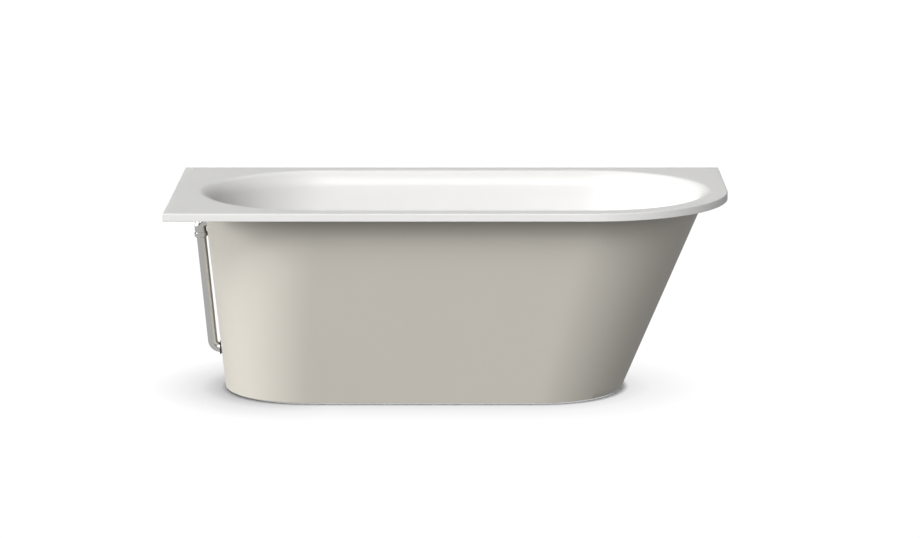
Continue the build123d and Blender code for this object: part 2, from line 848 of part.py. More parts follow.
union_nut_under = trap_top - trap_flange_thickness - seat_gap - union_nut_lip
with BuildPart() as trap_union_nut:
    ring(union_nut_under, union_nut_radius, trap_radius + thread_gap, union_nut_lip)
    ring(
        union_nut_under + union_nut_lip,
        union_nut_radius,
        outlet_thread_radius + bush_gap,
        union_nut_length - union_nut_lip,
    )
save(trap_union_nut, "trap_union_nut")


def along(x, outer, inner, reach):
    """A flat ring about the trap's level outlet, from x by reach."""
    with BuildSketch(upright(x)) as flat:
        with Locations((0, trap_outlet_z)):
            Circle(outer)
            Circle(inner, mode=Mode.SUBTRACT)
    extrude(flat.sketch, amount=reach)


socket_x = trap_end_x - outlet_socket_length
with BuildPart() as outlet_elbow:
    with BuildLine(Plane.XZ):
        outlet_path = FilletPolyline(
            (trap_end_x + seat_gap, trap_outlet_z),
            (elbow_x, trap_outlet_z),
            (elbow_x, outlet_end_z),
            radius=trap_exit_bend,
        )
    with BuildSketch(Plane(origin=outlet_path @ 0, x_dir=(0, 1, 0), z_dir=outlet_path % 0)):
        Circle(trap_radius)
        Circle(trap_bore, mode=Mode.SUBTRACT)
    sweep(path=outlet_path)
    along(socket_x, outlet_socket_radius, trap_radius + thread_gap, outlet_socket_length + seat_gap)
    along(trap_end_x + seat_gap, outlet_socket_radius, trap_bore, trap_wall)
save(outlet_elbow, "outlet_elbow")

outlet_washer_x = socket_x - outlet_washer_thickness
with BuildPart() as outlet_washer:
    along(
        outlet_washer_x,
        outlet_socket_radius - bush_gap,
        trap_radius + bush_gap,
        outlet_washer_thickness,
    )
save(outlet_washer, "outlet_washer")

outlet_nut_x = outlet_washer_x - outlet_nut_lip
with BuildPart() as outlet_nut:
    along(outlet_nut_x, outlet_nut_radius, trap_radius + thread_gap, outlet_nut_lip)
    along(
        outlet_washer_x,
        outlet_nut_radius,
        outlet_socket_radius + bush_gap,
        outlet_nut_length - outlet_nut_lip,
    )
save(outlet_nut, "outlet_nut")
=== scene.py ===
"""Looks of a back-to-wall corner bathtub in cast stone resin, with its overflow, waste and feet."""

import json
import logging
from dataclasses import dataclass, field
from enum import Enum
from math import atan2, cos, pi, radians, sin, tan

import bmesh
import bpy
import numpy as np
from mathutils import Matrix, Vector


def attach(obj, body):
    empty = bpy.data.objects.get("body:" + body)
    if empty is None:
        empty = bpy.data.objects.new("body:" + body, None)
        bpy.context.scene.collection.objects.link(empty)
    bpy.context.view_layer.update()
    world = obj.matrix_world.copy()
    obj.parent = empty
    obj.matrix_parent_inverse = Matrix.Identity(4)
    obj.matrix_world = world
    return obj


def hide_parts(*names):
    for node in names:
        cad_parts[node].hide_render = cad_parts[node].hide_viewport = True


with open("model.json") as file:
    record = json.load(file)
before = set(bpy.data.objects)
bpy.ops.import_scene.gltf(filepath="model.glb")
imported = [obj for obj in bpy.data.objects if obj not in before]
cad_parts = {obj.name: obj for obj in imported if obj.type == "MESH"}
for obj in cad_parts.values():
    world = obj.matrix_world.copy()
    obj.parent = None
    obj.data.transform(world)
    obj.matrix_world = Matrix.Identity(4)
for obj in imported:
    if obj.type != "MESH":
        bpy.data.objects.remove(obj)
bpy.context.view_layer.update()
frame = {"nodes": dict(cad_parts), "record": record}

LOG = logging.getLogger("bathtub")
ROOT = "bathtub"

Array = np.ndarray
Spot = tuple[float, float, float]
Place = tuple[float, float]
Profile = list[tuple[float, float]]
Grid = tuple[Array, bool, bool]
Path = tuple[Array, Array]
Rows = tuple[Array, Array, Array]
Socket = bpy.types.NodeSocket
Tree = bpy.types.NodeTree
Object = bpy.types.Object

TURN, QUARTER = 2.0 * pi, pi / 2.0
ALONG_X, UPRIGHT = (1.0, 0.0, 0.0), (0.0, 0.0, 1.0)
SHARP = 35.0  # degrees between two faces, past which their edge is shaded sharp
MERGE = 1e-6  # points closer than this, in metres, become one
TINY = 1e-9
SAME_STOP = 1e-5
NEAR_Y = 0.9
HEXAGON_POINTS = 96
BEVEL_RISE = 0.55
THREAD_POINTS, ROWS_PER_PITCH = 32, 7.0
POINTS_PER_RIB, OUTER_SHARE = 10, 0.9
FINE, PLAIN, COARSE = 96, 64, 32
BOLT_XS, BOLT_YS = (-0.470, -0.025, 0.300), (-0.150, 0.150)


def smooth_step(values: Array) -> Array:
    """Ease values from 0 to 1 with a flat start and end: 3t^2 - 2t^3."""
    values = np.clip(values, 0.0, 1.0)
    return values * values * (3.0 - 2.0 * values)


def wrap_faces(rows: int, columns: int, wrap_rows: bool, wrap_columns: bool) -> Array:
    """Number the quads of a grid of points.

    Each quad joins a point to the next one along its row, the one across in the next row, and
    the one in the next row. A wrapped direction joins its last line of points to its first.

    Args:
        rows: Lines of points.
        columns: Points in a line.
        wrap_rows: Whether the last line joins the first.
        wrap_columns: Whether a line's last point joins its first.

    Returns:
        An array of quads, four point numbers each.
    """
    r = np.arange(rows if wrap_rows else rows - 1)
    c = np.arange(columns if wrap_columns else columns - 1)
    r, c = (a.ravel() for a in np.meshgrid(r, c, indexing="ij"))
    here, below, c_next = r * columns, (r + 1) % rows * columns, (c + 1) % columns
    return np.stack((here + c, here + c_next, below + c_next, below + c), axis=1)


def mesh_object(name: str, parts: list[Grid]) -> Object:
    """Make one object from grids of points, with closed seams and poles and outward faces.

    Args:
        name: The object's name.
        parts: Grids as (points, wrap rows, wrap columns). Points are rows by columns by 3.

    Returns:
        The object, at the origin.
    """
    points, quads, start = [], [], 0
    for grid, wrap_rows, wrap_columns in parts:
        rows, columns, _ = grid.shape
        points.append(grid.reshape(-1, 3))
        quads.append(wrap_faces(rows, columns, wrap_rows, wrap_columns) + start)
        start += rows * columns
    flat, faces = np.concatenate(points), np.concatenate(quads)
    mesh = bpy.data.meshes.new(name)
    mesh.vertices.add(len(flat))
    mesh.vertices.foreach_set("co", flat.astype(np.float32).ravel())
    mesh.loops.add(faces.size)
    mesh.loops.foreach_set("vertex_index", faces.astype(np.int32).ravel())
    mesh.polygons.add(len(faces))
    mesh.polygons.foreach_set("loop_start", np.arange(0, faces.size, 4, dtype=np.int32))
    mesh.update(calc_edges=True)
    mesh.validate()
    close_mesh(mesh)
    return linked(name, mesh)


def linked(name: str, data: bpy.types.ID) -> Object:
    """Put an object into the scene.

    Args:
        name: Its name.
        data: Its mesh, light or camera.

    Returns:
        The object, at the origin.
    """
    made = bpy.data.objects.new(name, data)
    bpy.context.scene.collection.objects.link(made)
    return made


def close_mesh(mesh: bpy.types.Mesh) -> None:
    """Merge doubled points, drop faces without area, turn faces outwards and shade them smooth.

    Args:
        mesh: The mesh to finish.
    """
    work = bmesh.new()
    work.from_mesh(mesh)
    bmesh.ops.remove_doubles(work, verts=work.verts, dist=MERGE)
    bmesh.ops.dissolve_degenerate(work, edges=work.edges, dist=MERGE)
    bmesh.ops.recalc_face_normals(work, faces=work.faces)
    work.to_mesh(mesh)
    work.free()
    mesh.polygons.foreach_set("use_smooth", np.ones(len(mesh.polygons), dtype=bool))
    mesh.set_sharp_from_angle(angle=radians(SHARP))
    mesh.update()


class Carving(Enum):
    """What a Boolean modifier does with other solids."""

    CUT = "DIFFERENCE"
    JOIN = "UNION"


def carve(piece: Object, solids: list[Object], how: Carving = Carving.CUT) -> None:
    """Cut other solids out of a piece, or join them to it, and delete them.

    Args:
        piece: The object that is cut or joined to.
        solids: The objects whose space is removed or added.
        how: Which of the two.
    """
    for solid in solids:
        step = piece.modifiers.new("carve", "BOOLEAN")
        step.operation, step.solver, step.object = how.value, "EXACT", solid
    bpy.context.view_layer.update()
    depsgraph = bpy.context.evaluated_depsgraph_get()
    carved = bpy.data.meshes.new_from_object(piece.evaluated_get(depsgraph))
    piece.modifiers.clear()
    piece.data = carved
    close_mesh(carved)
    for solid in solids:
        bpy.data.objects.remove(solid)


def unit(way: Array) -> Array:
    """Vectors in rows, or one vector, brought to length one."""
    return way / np.linalg.norm(way, axis=-1, keepdims=True)


def outward_ways(direction: Spot, segments: int) -> tuple[Array, Array]:
    """Directions all round an axis: cos a * side + sin a * other side.

    Args:
        direction: The axis.
        segments: How many directions.

    Returns:
        The directions, one to a row, and the axis itself, all of length one.
    """
    along = unit(np.array(direction, float))
    side = unit(np.cross((0.0, 1.0, 0.0) if abs(along[1]) < NEAR_Y else ALONG_X, along))
    angle = np.linspace(0.0, TURN, segments, endpoint=False)[:, None]
    return np.cos(angle) * side + np.sin(angle) * np.cross(along, side), along


def turned(
    profile: Profile, origin: Spot, direction: Spot = UPRIGHT, segments: int = PLAIN
) -> Grid:
    """A turned surface: the profile's radius at each reach along the axis, carried round it.

    A point is origin + reach * axis + radius * (cos a * side + sin a * other side).

    Args:
        profile: (radius, reach) pairs, in metres. It closes on itself unless both ends are at
            radius 0.
        origin: Where reach is 0.
        direction: The axis.
        segments: Points round the axis.

    Returns:
        A grid for mesh_object.
    """
    outward, along = outward_ways(direction, segments)
    radius, reach = np.array(profile, float).T
    grid = np.array(origin) + reach[:, None, None] * along + radius[:, None, None] * outward
    return grid, not radius[0] == radius[-1] == 0.0, True


def rounded(corners: list[Spot], steps: int = 5) -> Profile:
    """A profile with its corners rounded off.

    Each corner is replaced by a parabola that starts and ends at the given distance from it, at
    the points (1-t)^2 A + 2t(1-t) B + t^2 C.

    Args:
        corners: (radius, reach, rounding distance) for each corner, in metres.
        steps: Points along each rounding.

    Returns:
        (radius, reach) pairs.
    """
    spots = np.array([corner[:2] for corner in corners], float)
    t = np.linspace(0.0, 1.0, steps)[:, None]
    result = []
    for number, (x, y, cut) in enumerate(corners):
        if cut == 0.0:
            result.append((x, y))
            continue
        here, after = spots[number], spots[(number + 1) % len(spots)]
        a = here + unit(spots[number - 1] - here) * cut
        c = here + unit(after - here) * cut
        curve = (1 - t) ** 2 * a + 2 * t * (1 - t) * here + t**2 * c
        result.extend((float(p[0]), float(p[1])) for p in curve)
    return result


def bent_path(corners: list[Spot], radii: list[float], steps: int) -> Path:
    """Straight runs joined by round bends.

    On a bend the path is start + radius * ((1 - cos a) * u + sin a * w), where u points from
    the bend's start to its centre and w is the way the path runs there.

    Args:
        corners: The path's two ends and where its runs meet between them, in metres.
        radii: One bend radius for each meeting.
        steps: Points on each bend.

    Returns:
        The path's points, and its direction at each.
    """
    spots = np.array(corners, float)
    points, ways = [spots[0]], [unit(spots[1] - spots[0])]
    for before, here, after, radius in zip(spots[:-2], spots[1:-1], spots[2:], radii):
        into, out = unit(here - before), unit(after - here)
        bend = np.arccos(np.clip(into @ out, -1.0, 1.0))
        start = here - into * radius * tan(bend / 2.0)
        inward = unit(out - into * (out @ into))
        a = np.linspace(0.0, bend, steps)[:, None]
        points.extend(start + inward * radius * (1.0 - np.cos(a)) + into * radius * np.sin(a))
        ways.extend(into * np.cos(a) + inward * np.sin(a))
    points.append(spots[-1])
    ways.append(ways[-1])
    return np.array(points), np.array(ways)


def run_length(path: Path) -> Array:
    """How far along a path each of its points lies."""
    return np.concatenate(((0.0,), np.cumsum(np.linalg.norm(np.diff(path[0], axis=0), axis=1))))


def sheath(path: Path, profile: Profile, segments: int = 72) -> Grid:
    """A surface round a path in the plane across Y, with a radius that changes along it.

    A ring's point is path + radius * (cos a * Y + sin a * (Y x way)). The profile's rings are
    joined through the path's own points between them.

    Args:
        path: Points and directions, as bent_path gives them.
        profile: (radius, distance along the path) pairs. It closes on itself.
        segments: Points in a ring.

    Returns:
        A grid for mesh_object.
    """
    run = run_length(path)
    radii, reaches = [np.array([profile[0][0]])], [np.array([profile[0][1]])]
    for (r_0, s_0), (r_1, s_1) in zip(profile, profile[1:] + profile[:1]):
        between = run[(run > min(s_0, s_1) + SAME_STOP) & (run < max(s_0, s_1) - SAME_STOP)]
        stops = np.append(between if s_1 >= s_0 else between[::-1], s_1)
        share = (stops - s_0) / (s_1 - s_0) if s_1 != s_0 else np.ones_like(stops)
        radii.append(r_0 + (r_1 - r_0) * share)
        reaches.append(stops)
    radius, reach = np.concatenate(radii)[:-1], np.concatenate(reaches)[:-1]
    middle, way = (
        np.stack([np.interp(reach, run, part[:, axis]) for axis in range(3)], axis=1)
        for part in path
    )
    across = np.array((0.0, 1.0, 0.0))
    upward = np.cross(across, unit(way))
    angle = np.linspace(0.0, TURN, segments, endpoint=False)[None, :, None]
    ring = np.cos(angle) * across + np.sin(angle) * upward[:, None, :]
    return middle[:, None, :] + radius[:, None, None] * ring, True, True


def round_upright(place: Place, radius: Array, angle: Array, height: Array | float) -> Array:
    """Points round an upright axis: x = place + r cos a, y = place + r sin a, z = height.

    Args:
        place: The axis, seen from above.
        radius: One radius for each point.
        angle: One angle for each point.
        height: One height for all, or for each row.

    Returns:
        The points, with their coordinates last.
    """
    x, y = place[0] + radius * np.cos(angle), place[1] + radius * np.sin(angle)
    return np.stack(np.broadcast_arrays(x, y, height), axis=-1)


def hexagon(
    flats: float, low: float, high: float, place: Place, bore: float = 0.0, bevel: float = 0.0
) -> Grid:
    """An upright six-sided prism whose corners are turned off at both ends.

    Its radius at angle a is half the flats over cos(a mod 60 - 30), and never more than a cone
    that starts bevel inside the corners at each end.

    Args:
        flats: The width across flats.
        low: Its underside.
        high: Its top.
        place: Its axis, seen from above.
        bore: The radius of the hole through it, or 0.
        bevel: How far the cone cuts in at the ends.

    Returns:
        A grid for mesh_object.
    """
    half_side = pi / 6.0
    angle = np.linspace(0.0, TURN, HEXAGON_POINTS, endpoint=False)
    side = flats / 2.0 / np.cos(np.mod(angle, 2.0 * half_side) - half_side)
    corner = flats / 2.0 / cos(half_side)
    hole, rise = np.full_like(side, bore), bevel * BEVEL_RISE
    spans = ((bevel, low), (0.0, low + rise), (0.0, high - rise), (bevel, high))
    rings = [(np.minimum(side, corner - cut), height) for cut, height in spans]
    rings = [(hole, low), *rings, (hole, high)]
    return np.array([round_upright(place, r, angle, z) for r, z in rings]), bore > 0.0, True


def threaded(
    radius: float, low: float, high: float, place: Place, pitch: float, depth: float
) -> Grid:
    """An upright threaded rod: its radius falls by depth * (1 - cos(2 pi z / pitch - a)) / 2.

    Args:
        radius: The thread's outer radius.
        low: Its underside.
        high: Its top, where the thread runs out into a small bevel.
        place: Its axis, seen from above.
        pitch: The rise of one turn.
        depth: The thread's depth.

    Returns:
        A grid for mesh_object.
    """
    angle = np.linspace(0.0, TURN, THREAD_POINTS, endpoint=False)
    height = np.linspace(low, high, int((high - low) / pitch * ROWS_PER_PITCH))[:, None]
    groove = depth * (1.0 - np.cos(TURN * height / pitch - angle)) / 2.0
    lead = smooth_step((high - height) / (2.0 * pitch))
    rod = round_upright(place, (radius - depth) + (depth - groove) * lead, angle, height)
    foot, tip = (np.broadcast_to(np.array((*place, z)), rod[:1].shape) for z in (low, high))
    return np.concatenate((foot, rod, tip)), False, True


def ribbed(
    profile: Profile, origin: Spot, direction: Spot, grip: Place, ribs: int, depth: float
) -> Grid:
    """A turned surface with grip ribs.

    Between two reaches the outside dips by depth * cos^4 of half the ribs times the angle.

    Args:
        profile: (radius, reach) pairs, as in turned.
        origin: Where reach is 0.
        direction: The axis.
        grip: The reaches between which the ribs stand.
        ribs: How many there are.
        depth: How deep the dips between them are.

    Returns:
        A grid for mesh_object.
    """
    segments = ribs * POINTS_PER_RIB
    grid, wrap, around = turned(profile, origin, direction, segments)
    radius, reach = np.array(profile, float).T
    angle = np.linspace(0.0, TURN, segments, endpoint=False)
    inside = (reach > grip[0]) & (reach < grip[1]) & (radius > radius.max() * OUTER_SHARE)
    dip = depth * np.cos(angle * ribs / 2.0) ** 4
    outward, _ = outward_ways(direction, segments)
    return grid - inside[:, None, None] * dip[None, :, None] * outward, wrap, around


def block(name: str, low: Spot, high: Spot) -> Object:
    """A square-edged block, to cut or join with.

    Args:
        name: The object's name.
        low: Its lowest corner.
        high: Its highest corner.

    Returns:
        The object.
    """
    (x_0, y_0, z_0), (x_1, y_1, z_1) = low, high
    ring = np.array([(x_0, y_0), (x_1, y_0), (x_1, y_1), (x_0, y_1)])
    middle = np.broadcast_to(ring.mean(axis=0), ring.shape)
    rows = [(middle, z_0), (ring, z_0), (ring, z_1), (middle, z_1)]
    grid = np.array([np.column_stack((flat, np.full(4, z))) for flat, z in rows])
    return mesh_object(name, [(grid, False, True)])


class Nodes:
    """A small helper that adds and links shader nodes in one tree."""

    def __init__(self, tree: Tree) -> None:
        """Keep the tree and empty it."""
        self.tree = tree
        self.tree.nodes.clear()

    def feed(self, value: object, target: Socket) -> None:
        """Link an output to an input, or set the input to a plain value.

        Args:
            value: An output socket, or the input's value.
            target: The input.
        """
        if isinstance(value, Socket):
            self.tree.links.new(value, target)
        else:
            target.default_value = value

    def add(self, kind: str, **values: object) -> bpy.types.Node:
        """Add a node.

        Args:
            kind: The node's type.
            values: Properties of the node, and what its input sockets take, by name with
                underscores for spaces.

        Returns:
            The node.
        """
        node = self.tree.nodes.new(kind)
        for name, value in values.items():
            if hasattr(node, name):
                setattr(node, name, value)
            else:
                self.feed(value, node.inputs[name.replace("_", " ")])
        return node

    def math(self, operation: str, first: object, second: object) -> Socket:
        """Work out a value from two others.

        Args:
            operation: The Math node's own name for it.
            first: A socket or a number.
            second: A socket or a number.

        Returns:
            The value's socket.
        """
        node = self.add("ShaderNodeMath", operation=operation)
        self.feed(first, node.inputs[0])
        self.feed(second, node.inputs[1])
        return node.outputs[0]

    def blend(self, share: Socket, low: object, high: object) -> Socket:
        """A value between two others.

        Args:
            share: 0 for low, 1 for high.
            low: A socket or a number.
            high: A socket or a number.

        Returns:
            The value's socket.
        """
        mix = self.add("ShaderNodeMix")
        for number, value in ((0, share), (2, low), (3, high)):
            self.feed(value, mix.inputs[number])
        return mix.outputs[0]


class Effect(Enum):
    """The shader node groups that several finishes share."""

    GRAIN = "cast_grain"
    HANDLING = "handling_marks"


def start_group(
    kind: Effect, numbers: dict[str, float], colored: bool
) -> tuple[Nodes, dict[str, Socket], dict[str, Socket]]:
    """Start a node group that puts out a shift of roughness and a height.

    Args:
        kind: Which effect it is.
        numbers: Its number inputs, and what they hold at first.
        colored: Whether a colour goes through it as well.

    Returns:
        The helper for its tree, what it is given, and what it puts out, both by name.
    """
    group = bpy.data.node_groups.new(kind.value, "ShaderNodeTree")
    sockets = [("Color", way, "Color") for way in ("INPUT", "OUTPUT") if colored]
    sockets += [(name, "INPUT", "Float") for name in numbers]
    sockets += [(name, "OUTPUT", "Float") for name in ("Roughness Shift", "Height")]
    for name, way, sort in sockets:
        socket_type = f"NodeSocket{sort}"
        made = group.interface.new_socket(name=name, in_out=way, socket_type=socket_type)
        if name in numbers:
            made.default_value = numbers[name]
    nodes = Nodes(group)
    return nodes, nodes.add("NodeGroupInput").outputs, nodes.add("NodeGroupOutput").inputs


def build_grain() -> Tree:
    """Fine cast grain: a slow drift of tone, a fine speckle, and the height of a matt skin.

    Returns:
        The node group.
    """
    numbers = {"Drift Scale": 3.0, "Drift": 0.02, "Speckle Scale": 900.0, "Speckle": 0.02}
    nodes, given, made = start_group(Effect.GRAIN, numbers, colored=True)
    place = nodes.add("ShaderNodeTexCoord").outputs["Object"]
    shades = []
    for name, detail, roughness in (("Drift", 3.0, 0.5), ("Speckle", 2.0, 0.6)):
        noise = nodes.add("ShaderNodeTexNoise", Vector=place, Detail=detail, Roughness=roughness)
        nodes.feed(given[f"{name} Scale"], noise.inputs["Scale"])
        centred = nodes.math("SUBTRACT", noise.outputs["Fac"], 0.5)
        shades.append(nodes.math("MULTIPLY", centred, given[name]))
    factor = nodes.math("ADD", nodes.math("ADD", *shades), 1.0)
    tint = nodes.add("ShaderNodeVectorMath", operation="SCALE", Scale=factor)
    nodes.feed(given["Color"], tint.inputs[0])
    nodes.feed(tint.outputs[0], made["Color"])
    nodes.feed(shades[0], made["Roughness Shift"])
    nodes.feed(noise.outputs["Fac"], made["Height"])
    return nodes.tree


def build_handling() -> Tree:
    """Marks of handling on metal and plastic: soft smears, and fine scratches in a few places.

    Returns:
        The node group.
    """
    numbers = {"Smear Scale": 25.0, "Smear": 0.05, "Scratch Scale": 60.0, "Scratch": 0.03}
    nodes, given, made = start_group(Effect.HANDLING, numbers, colored=False)
    place = nodes.add("ShaderNodeTexCoord").outputs["Object"]
    smear = nodes.add("ShaderNodeTexNoise", Vector=place, Detail=4.0, Roughness=0.55)
    nodes.feed(given["Smear Scale"], smear.inputs["Scale"])
    drawn_out, slant = (6.0, 6.0, 0.4), (0.5, 0.3, 0.0)
    mapping = nodes.add("ShaderNodeMapping", Vector=place, Scale=drawn_out, Rotation=slant)
    long_way = mapping.outputs[0]
    scratch = nodes.add("ShaderNodeTexNoise", Vector=long_way, Detail=2.0, Roughness=0.5)
    nodes.feed(given["Scratch Scale"], scratch.inputs["Scale"])
    fine = nodes.add("ShaderNodeMapRange", From_Min=0.62, From_Max=0.7)
    nodes.feed(scratch.outputs["Fac"], fine.inputs["Value"])
    line = fine.outputs["Result"]
    soft = nodes.math("MULTIPLY", smear.outputs["Fac"], given["Smear"])
    hard = nodes.math("MULTIPLY", line, given["Scratch"])
    nodes.feed(nodes.math("ADD", soft, hard), made["Roughness Shift"])
    nodes.feed(line, made["Height"])
    return nodes.tree


def effect(kind: Effect) -> Tree:
    """The shared node group of that kind, built on first use."""
    makers = {Effect.GRAIN: build_grain, Effect.HANDLING: build_handling}
    return bpy.data.node_groups.get(kind.value) or makers[kind]()


@dataclass(frozen=True)
class Finish:
    """A surface whose colour, roughness and fine relief are stirred by the shared effects."""

    name: str
    color: Spot
    roughness: float

    def surface(
        self,
        sources: tuple[Effect, Effect],
        numbers: dict[str, float],
        relief: tuple[float, float],
        **even: float,
    ) -> bpy.types.Material:
        """Build the material. The grain always tints its colour.

        Args:
            sources: The effects that shift the roughness and give the height of the bump.
            numbers: Inputs of the effects, by name.
            relief: The bump's strength, and its distance in metres.
            even: What the shader has all over.

        Returns:
            The material.
        """
        made = bpy.data.materials.new(f"{self.name}_finish")
        made.use_nodes = True
        nodes = Nodes(made.node_tree)
        used = {}
        for kind in Effect:
            if kind is Effect.GRAIN or kind in sources:
                used[kind] = nodes.add("ShaderNodeGroup", node_tree=effect(kind))
        for name, value in {**numbers, "Color": (*self.color, 1.0)}.items():
            for group in used.values():
                if name in group.inputs:
                    group.inputs[name].default_value = value
        rough_source, height_source = (used[kind].outputs for kind in sources)
        rough = nodes.math("ADD", rough_source["Roughness Shift"], self.roughness)
        bump = nodes.add("ShaderNodeBump", Strength=relief[0], Distance=relief[1])
        nodes.feed(height_source["Height"], bump.inputs["Height"])
        shader = nodes.add("ShaderNodeBsdfPrincipled", Roughness=rough, **even)
        nodes.feed(used[Effect.GRAIN].outputs["Color"], shader.inputs["Base Color"])
        nodes.feed(bump.outputs[0], shader.inputs["Normal"])
        nodes.feed(shader.outputs[0], nodes.add("ShaderNodeOutputMaterial").inputs[0])
        return made


@dataclass(frozen=True)
class Stone(Finish):
    """Matt cast stone resin."""

    drift: float = 0.03
    speckle: float = 0.02
    relief: tuple[float, float] = (0.04, 0.0004)

    def material(self) -> bpy.types.Material:
        """Grain in the colour, the roughness and a very fine bump.

        Returns:
            The material.
        """
        numbers = {"Drift": self.drift, "Speckle": self.speckle}
        return self.surface((Effect.GRAIN, Effect.GRAIN), numbers, self.relief, IOR=1.5)


@dataclass(frozen=True)
class Metal(Finish):
    """Plated, polished or brushed metal."""

    smear: float = 0.05
    scratch: float = 0.03
    drift: float = 0.06
    drift_scale: float = 40.0
    relief: tuple[float, float] = (0.02, 0.0002)

    def material(self) -> bpy.types.Material:
        """Handling marks in the roughness and the bump, and a drift of tone in the colour.

        Returns:
            The material.
        """
        numbers = {"Smear": self.smear, "Scratch": self.scratch, "Drift": self.drift}
        numbers |= {"Drift Scale": self.drift_scale, "Speckle": 0.0}
        marks = (Effect.HANDLING, Effect.HANDLING)
        return self.surface(marks, numbers, self.relief, Metallic=1.0)


@dataclass(frozen=True)
class Moulded(Finish):
    """Rubber, plastic or paint with a moulded or sprayed skin."""

    grain_scale: float = 1500.0
    bump: float = 0.15
    bump_depth: float = 0.0003
    smear: float = 0.08
    drift: float = 0.05
    drift_scale: float = 30.0

    def material(self) -> bpy.types.Material:
        """A skin of grain in the bump, and handling marks in the roughness.

        Returns:
            The material.
        """
        numbers = {"Smear": self.smear, "Speckle Scale": self.grain_scale}
        numbers |= {"Drift": self.drift, "Drift Scale": self.drift_scale}
        relief = (self.bump, self.bump_depth)
        return self.surface((Effect.HANDLING, Effect.GRAIN), numbers, relief)


FINISHES = (
    Stone("white_stone", (0.74, 0.735, 0.725), 0.42),
    Stone("grey_stone", (0.504, 0.479, 0.428), 0.5),
    Moulded("coated_steel", (0.055, 0.058, 0.062), 0.42, grain_scale=700.0, bump=0.25),
    Metal("zinc_steel", (0.62, 0.63, 0.65), 0.28, smear=0.15, drift=0.25),
    Metal("insert_brass", (0.75, 0.55, 0.26), 0.25, smear=0.12, drift=0.2),
    Metal("cast_brass", (0.68, 0.50, 0.25), 0.34, smear=0.18, drift=0.25),
    Metal("chrome", (0.72, 0.71, 0.69), 0.05, smear=0.04, scratch=0.01, drift=0.02),
    Metal("stainless", (0.58, 0.57, 0.56), 0.24, smear=0.08, drift=0.08),
    Moulded("black_rubber", (0.018, 0.018, 0.019), 0.62, bump=0.3),
    Moulded("black_nylon", (0.025, 0.025, 0.027), 0.48, grain_scale=1100.0, bump=0.3),
    Moulded("white_plastic", (0.78, 0.775, 0.755), 0.3, grain_scale=500.0, bump=0.08),
)
MADE: dict[str, bpy.types.Material] = {}


def finish_material(slot: str) -> bpy.types.Material:
    """The material of a slot, built on first use. The frame's own plain material is not used.

    Args:
        slot: The record's material slot.

    Returns:
        The material.
    """
    if slot not in MADE:
        MADE[slot] = next(finish for finish in FINISHES if finish.name == slot).material()
    return MADE[slot]


def fit_out(piece: Object | str, slot: str, body: str, node: str, *grids: Grid) -> Object:
    """Give a new piece its finish, the body it rides on and the node it stands for.

    Args:
        piece: The new object, or the name of one that is made here from grids.
        slot: The record's material slot.
        body: The body it moves with.
        node: The node of the frame that it replaces.
        grids: The grids, where the object is made here.

    Returns:
        The piece.
    """
    if isinstance(piece, str):
        piece = mesh_object(piece, list(grids))
    piece.data.materials.clear()
    piece.data.materials.append(finish_material(slot))
    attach(piece, body)
    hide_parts(node)
    LOG.info("%s: %d faces, on %s", piece.name, len(piece.data.polygons), body)
    return piece


@dataclass
class Ring:
    """A stadium seen from above: a slot along X with round ends, and its height, in metres."""

    left: float
    right: float
    radius: float
    height: float

    def grown(self, by: float, height: float | None = None) -> "Ring":
        """The ring moved outwards by an even distance, at its own height or another."""
        level = self.height if height is None else height
        return Ring(self.left - by, self.right + by, self.radius + by, level)

    def towards(self, other: "Ring", height: float) -> "Ring":
        """The ring at a height on the straight way from this one to another."""
        share = (height - self.height) / (other.height - self.height)
        pairs = zip(vars(self).values(), vars(other).values())
        return Ring(*(a + (b - a) * share for a, b in pairs))


